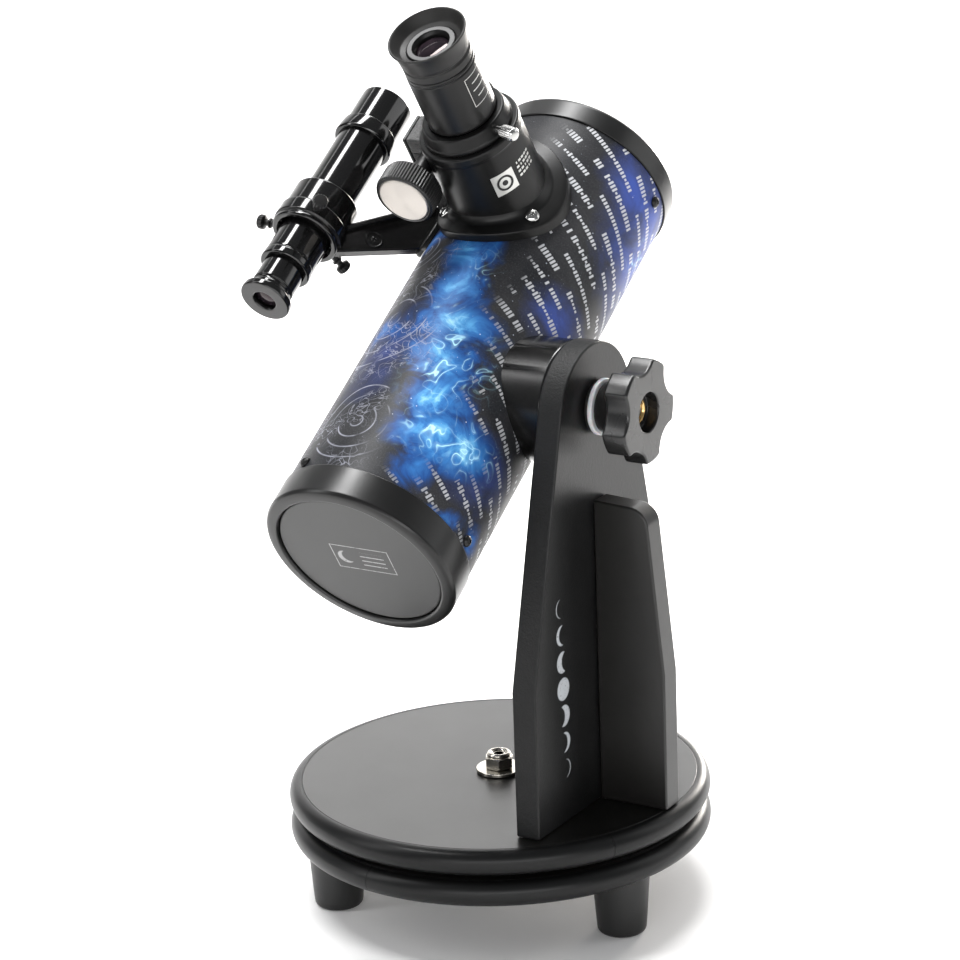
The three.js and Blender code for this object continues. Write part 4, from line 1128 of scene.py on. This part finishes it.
def finder_parts():
    tube = [
        (10.3, 6), (12.4, 6), (13.1, 6.7), (13.1, 10), (12.5, 11), (12.8, 12), (12.8, 93), (10.9, 93),
        (10.9, 14), (10.3, 13),
    ]
    dress(turned("finder_tube_look", FINDER, "y", tube, TURNS, 0.35), "finder", gloss, "finder_tube")
    hood = [
        (12.85, 92.3), (14.4, 92.3), (15.2, 93.2), (15.2, 96.4), (14.7, 100.6), (13.5, 101.4), (13.5, 121),
        (13.1, 121.4), (12.5, 121.4), (12.5, 104.4), (12.0, 104.4), (12.0, 99.2), (12.85, 99.2),
    ]
    dress(turned("finder_hood_look", FINDER, "y", hood, TURNS, 0.3), "finder", gloss, "finder_hood")
    lens = [(0, 99.8), (11.5, 99.8), (11.5, 101.8), (8, 102.5), (4, 102.9), (0, 103.05)]
    dress(
        turned("finder_objective_look", FINDER, "y", lens, FINE, 0, crease=60), "finder", lens_glass,
        "finder_objective",
    )
    eye = [
        (8.2, 25), (10, 25), (10, 5), (10.5, 4.4), (10.5, -6.5), (9.7, -7.0), (9.7, -8.3), (10.4, -8.8),
        (10.4, -11.3), (12.4, -11.5), (12.9, -12.2), (12.9, -14.8), (12.3, -15.4), (6.4, -15.4), (5.8, -14.9),
        (5.6, -13.6), (7, -13.2), (7, -9), (8.2, -8),
    ]
    dress(
        turned("finder_eyepiece_look", FINDER, "y", eye, TURNS, 0.35), "finder_eyepiece", gloss,
        "finder_eyepiece",
    )
    lens = [(0, -13.3), (2.5, -13.1), (4.5, -12.7), (6.7, -11.8), (6.7, -10.2), (0, -9.6)]
    dress(
        turned("finder_eye_lens_look", FINDER, "y", lens, FINE, 0, crease=60), "finder_eyepiece", lens_glass,
        "finder_eye_lens",
    )
    collar = [
        (14.6, 27.5), (16.6, 27.5), (17.4, 28.2), (17.4, 29.7), (16.7, 30.3), (18.1, 31.2), (18.1, 37.9),
        (16.9, 38.8), (16.9, 52.4), (16.4, 53), (14.6, 53),
    ]
    dress(turned("bracket_ring", FINDER, "y", collar, TURNS, 0.4), "tube", bracket_gloss, "finder_bracket")
    under = FINDER @ Matrix.Translation((0, 0, -FINDER_RISE * MM))  # on the tube's own axis
    web = slab(
        "bracket_web", under, "x", [(57, 49.2), (27.8, 85.9), (38, 91), (61, 72.4), (83, 54.6), (86, 49.2)],
        -3, 3, 0.7,
    )
    dress(web, "tube", hub_gloss)
    rib = slab(
        "bracket_rib", under, "x", [(36.2, 89.6), (38, 92), (62, 72.8), (84.5, 55), (82, 54.4), (60.6, 70.4)],
        -6, 6, 0.7,
    )
    dress(rib, "tube", hub_gloss)
    base = saddle_plate("bracket_foot", under @ Matrix.Translation((0, 75 * MM, 0)), 9, 21, 0.2, 51, 48.3)
    dress(base, "tube", hub_gloss)
    seat = under @ Matrix.Translation((0, 46.4 * MM, 72.2 * MM)) @ turn_about("y", 90)
    for side in (-1, 1):
        rim = turned(
            f"bracket_eye_{side + 2}", seat, "z", sleeve(3.7, 4.6, side * 2.7, side * 3.45), SMALL, 0.25
        )
        dress(rim, "tube", hub_gloss)
    pan_screw("bracket_screw_look", seat, 1.1, "tube", anodised, "bracket_screw")
    for i, angle in enumerate((86, 206, 326)):
        node = f"finder_thumbscrew_{i + 1}"
        matrix = FINDER @ turn_about("y", angle - 90) @ Matrix.Translation((0, 33 * MM, 0))
        spool_screw(node + "_look", matrix, 13.1, node.replace("thumbscrew", "screw"), node)


def kept_parts():
    """CAD pieces deep inside the object, which keep their meshes and take a finish."""
    finishes = {
        "spider": anodised, "secondary_holder": flat_black, "secondary_mirror": mirror_coat,
        "pinion_shaft": chromed, "azimuth_bolt": bright, "glide_pad_1": milky, "glide_pad_2": milky,
        "glide_pad_3": milky,
    }
    for node, (_, material) in finishes.items():
        mesh = frame["nodes"][node].data
        mesh.materials.clear()
        mesh.materials.append(material)


for node, body in (("ground_board", "base"), ("turntable_board", "turntable")):
    board(node, body)
board_trim("ground_board_trim", "base", -97.5)
board_trim("turntable_trim", "turntable", -28)
for i in range(3):
    foot(f"foot_{i + 1}")
azimuth_fastener()
arm_panel()
altitude_parts()
tube_shell()
tube_ends()
focuser_parts()
focus_knobs()
eyepiece_parts()
finder_parts()
kept_parts()


# ---- stage, light and camera ----


CAMERA_TURN = 31.56
CAMERA_RISE = 17.16
CAMERA_ROLL = -2.14
CAMERA_SPOT = Vector((826.81, -1354.31, 702.26)) * MM  # from the foot of the turntable's bolt
CAMERA_LENS = 128.13
# The stage's own directions: +Y is straight away from the camera.
FACING = Matrix.Rotation(math.radians(CAMERA_TURN), 3, "Z")

PAPER_WIDTH, PAPER_FRONT, PAPER_BACK, PAPER_HEIGHT, PAPER_BEND = 10.0, -9.0, 2.6, 3.4, 0.9


def studio():
    """A pale paper roll that runs under the object and curves up behind it."""
    floor = bpy.data.materials.new("paper")
    floor.use_nodes = True
    s = floor.node_tree.nodes["Principled BSDF"]
    s.inputs["Base Color"].default_value = (0.96, 0.955, 0.95, 1)
    s.inputs["Roughness"].default_value = 0.9
    s.inputs["Specular IOR Level"].default_value = 0.1
    bm = bmesh.new()
    curve = arc(PAPER_BACK - PAPER_BEND, PAPER_BEND, PAPER_BEND, -math.pi / 2, 0, 16)
    line = [(PAPER_FRONT, 0.0), *curve, (PAPER_BACK, PAPER_HEIGHT)]
    half = PAPER_WIDTH / 2
    sides = [[bm.verts.new(FACING @ Vector((x, y, z))) for y, z in line] for x in (-half, half)]
    for i in range(len(line) - 1):
        bm.faces.new((sides[0][i], sides[1][i], sides[1][i + 1], sides[0][i + 1]))
    mesh = bpy.data.meshes.new("paper_roll")
    bm.to_mesh(mesh)
    bm.free()
    mesh.polygons.foreach_set("use_smooth", [True] * len(mesh.polygons))
    mesh.materials.append(floor)
    paper = bpy.data.objects.new("paper_roll", mesh)
    bpy.context.scene.collection.objects.link(paper)


def panel(name, place_at, target, size, power, color=(1, 1, 1)):
    """A soft rectangular lamp aimed at a point, both given in the stage's directions."""
    lamp = bpy.data.lights.new(name, "AREA")
    lamp.shape = "RECTANGLE"
    lamp.size, lamp.size_y = size
    lamp.energy = power
    lamp.color = color
    obj = bpy.data.objects.new(name, lamp)
    obj.location = FACING @ Vector(place_at)
    obj.rotation_mode = "QUATERNION"
    obj.rotation_quaternion = (FACING @ Vector(target) - obj.location).to_track_quat("-Z", "Y")
    bpy.context.scene.collection.objects.link(obj)


def camera():
    cam = bpy.data.cameras.new("camera")
    cam.sensor_width = 36
    cam.lens = CAMERA_LENS
    cam.clip_start, cam.clip_end = 0.05, 30
    a, e, roll = (math.radians(t) for t in (CAMERA_TURN, CAMERA_RISE, CAMERA_ROLL))
    back = Vector((math.sin(a) * math.cos(e), -math.cos(a) * math.cos(e), math.sin(e)))
    right = (-back).cross(Vector((0, 0, 1))).normalized()
    up = right.cross(-back)
    level = math.cos(roll) * right + math.sin(roll) * up
    tall = math.cos(roll) * up - math.sin(roll) * right
    obj = bpy.data.objects.new("camera", cam)
    obj.matrix_world = frame_matrix(BASE.translation + CAMERA_SPOT, level, tall, back)
    bpy.context.scene.collection.objects.link(obj)
    bpy.context.scene.camera = obj


def lights():
    world = bpy.data.worlds.new("room")
    world.use_nodes = True
    sky = world.node_tree.nodes["Background"].inputs
    sky["Color"].default_value = (0.8, 0.82, 0.85, 1)
    sky["Strength"].default_value = 0.3
    bpy.context.scene.world = world
    aim = (0, 0, 0.2)
    panel("top_light", (-0.22, 0.35, 2.1), aim, (1.9, 0.34), 70)
    panel("left_light", (-1.7, -0.4, 1.2), aim, (0.28, 1.6), 11)
    panel("right_light", (1.9, 0.2, 1.0), aim, (0.9, 1.5), 8)
    panel("floor_fill", (0, -1.9, 0.45), (0, 0, 0), (2.6, 0.4), 20)
    panel("low_right_light", (0.75, 1.35, 0.42), (0, 0, 0.3), (0.5, 0.3), 19, (1, 0.95, 0.89))
    panel("back_wash", (0, 1.2, 1.9), (0, 2.6, 0.7), (2.6, 0.8), 60)


studio()
lights()
camera()
bpy.context.scene.view_settings.view_transform = "Standard"
bpy.context.scene.view_settings.look = "None"


def write_size():
    import json


write_size()
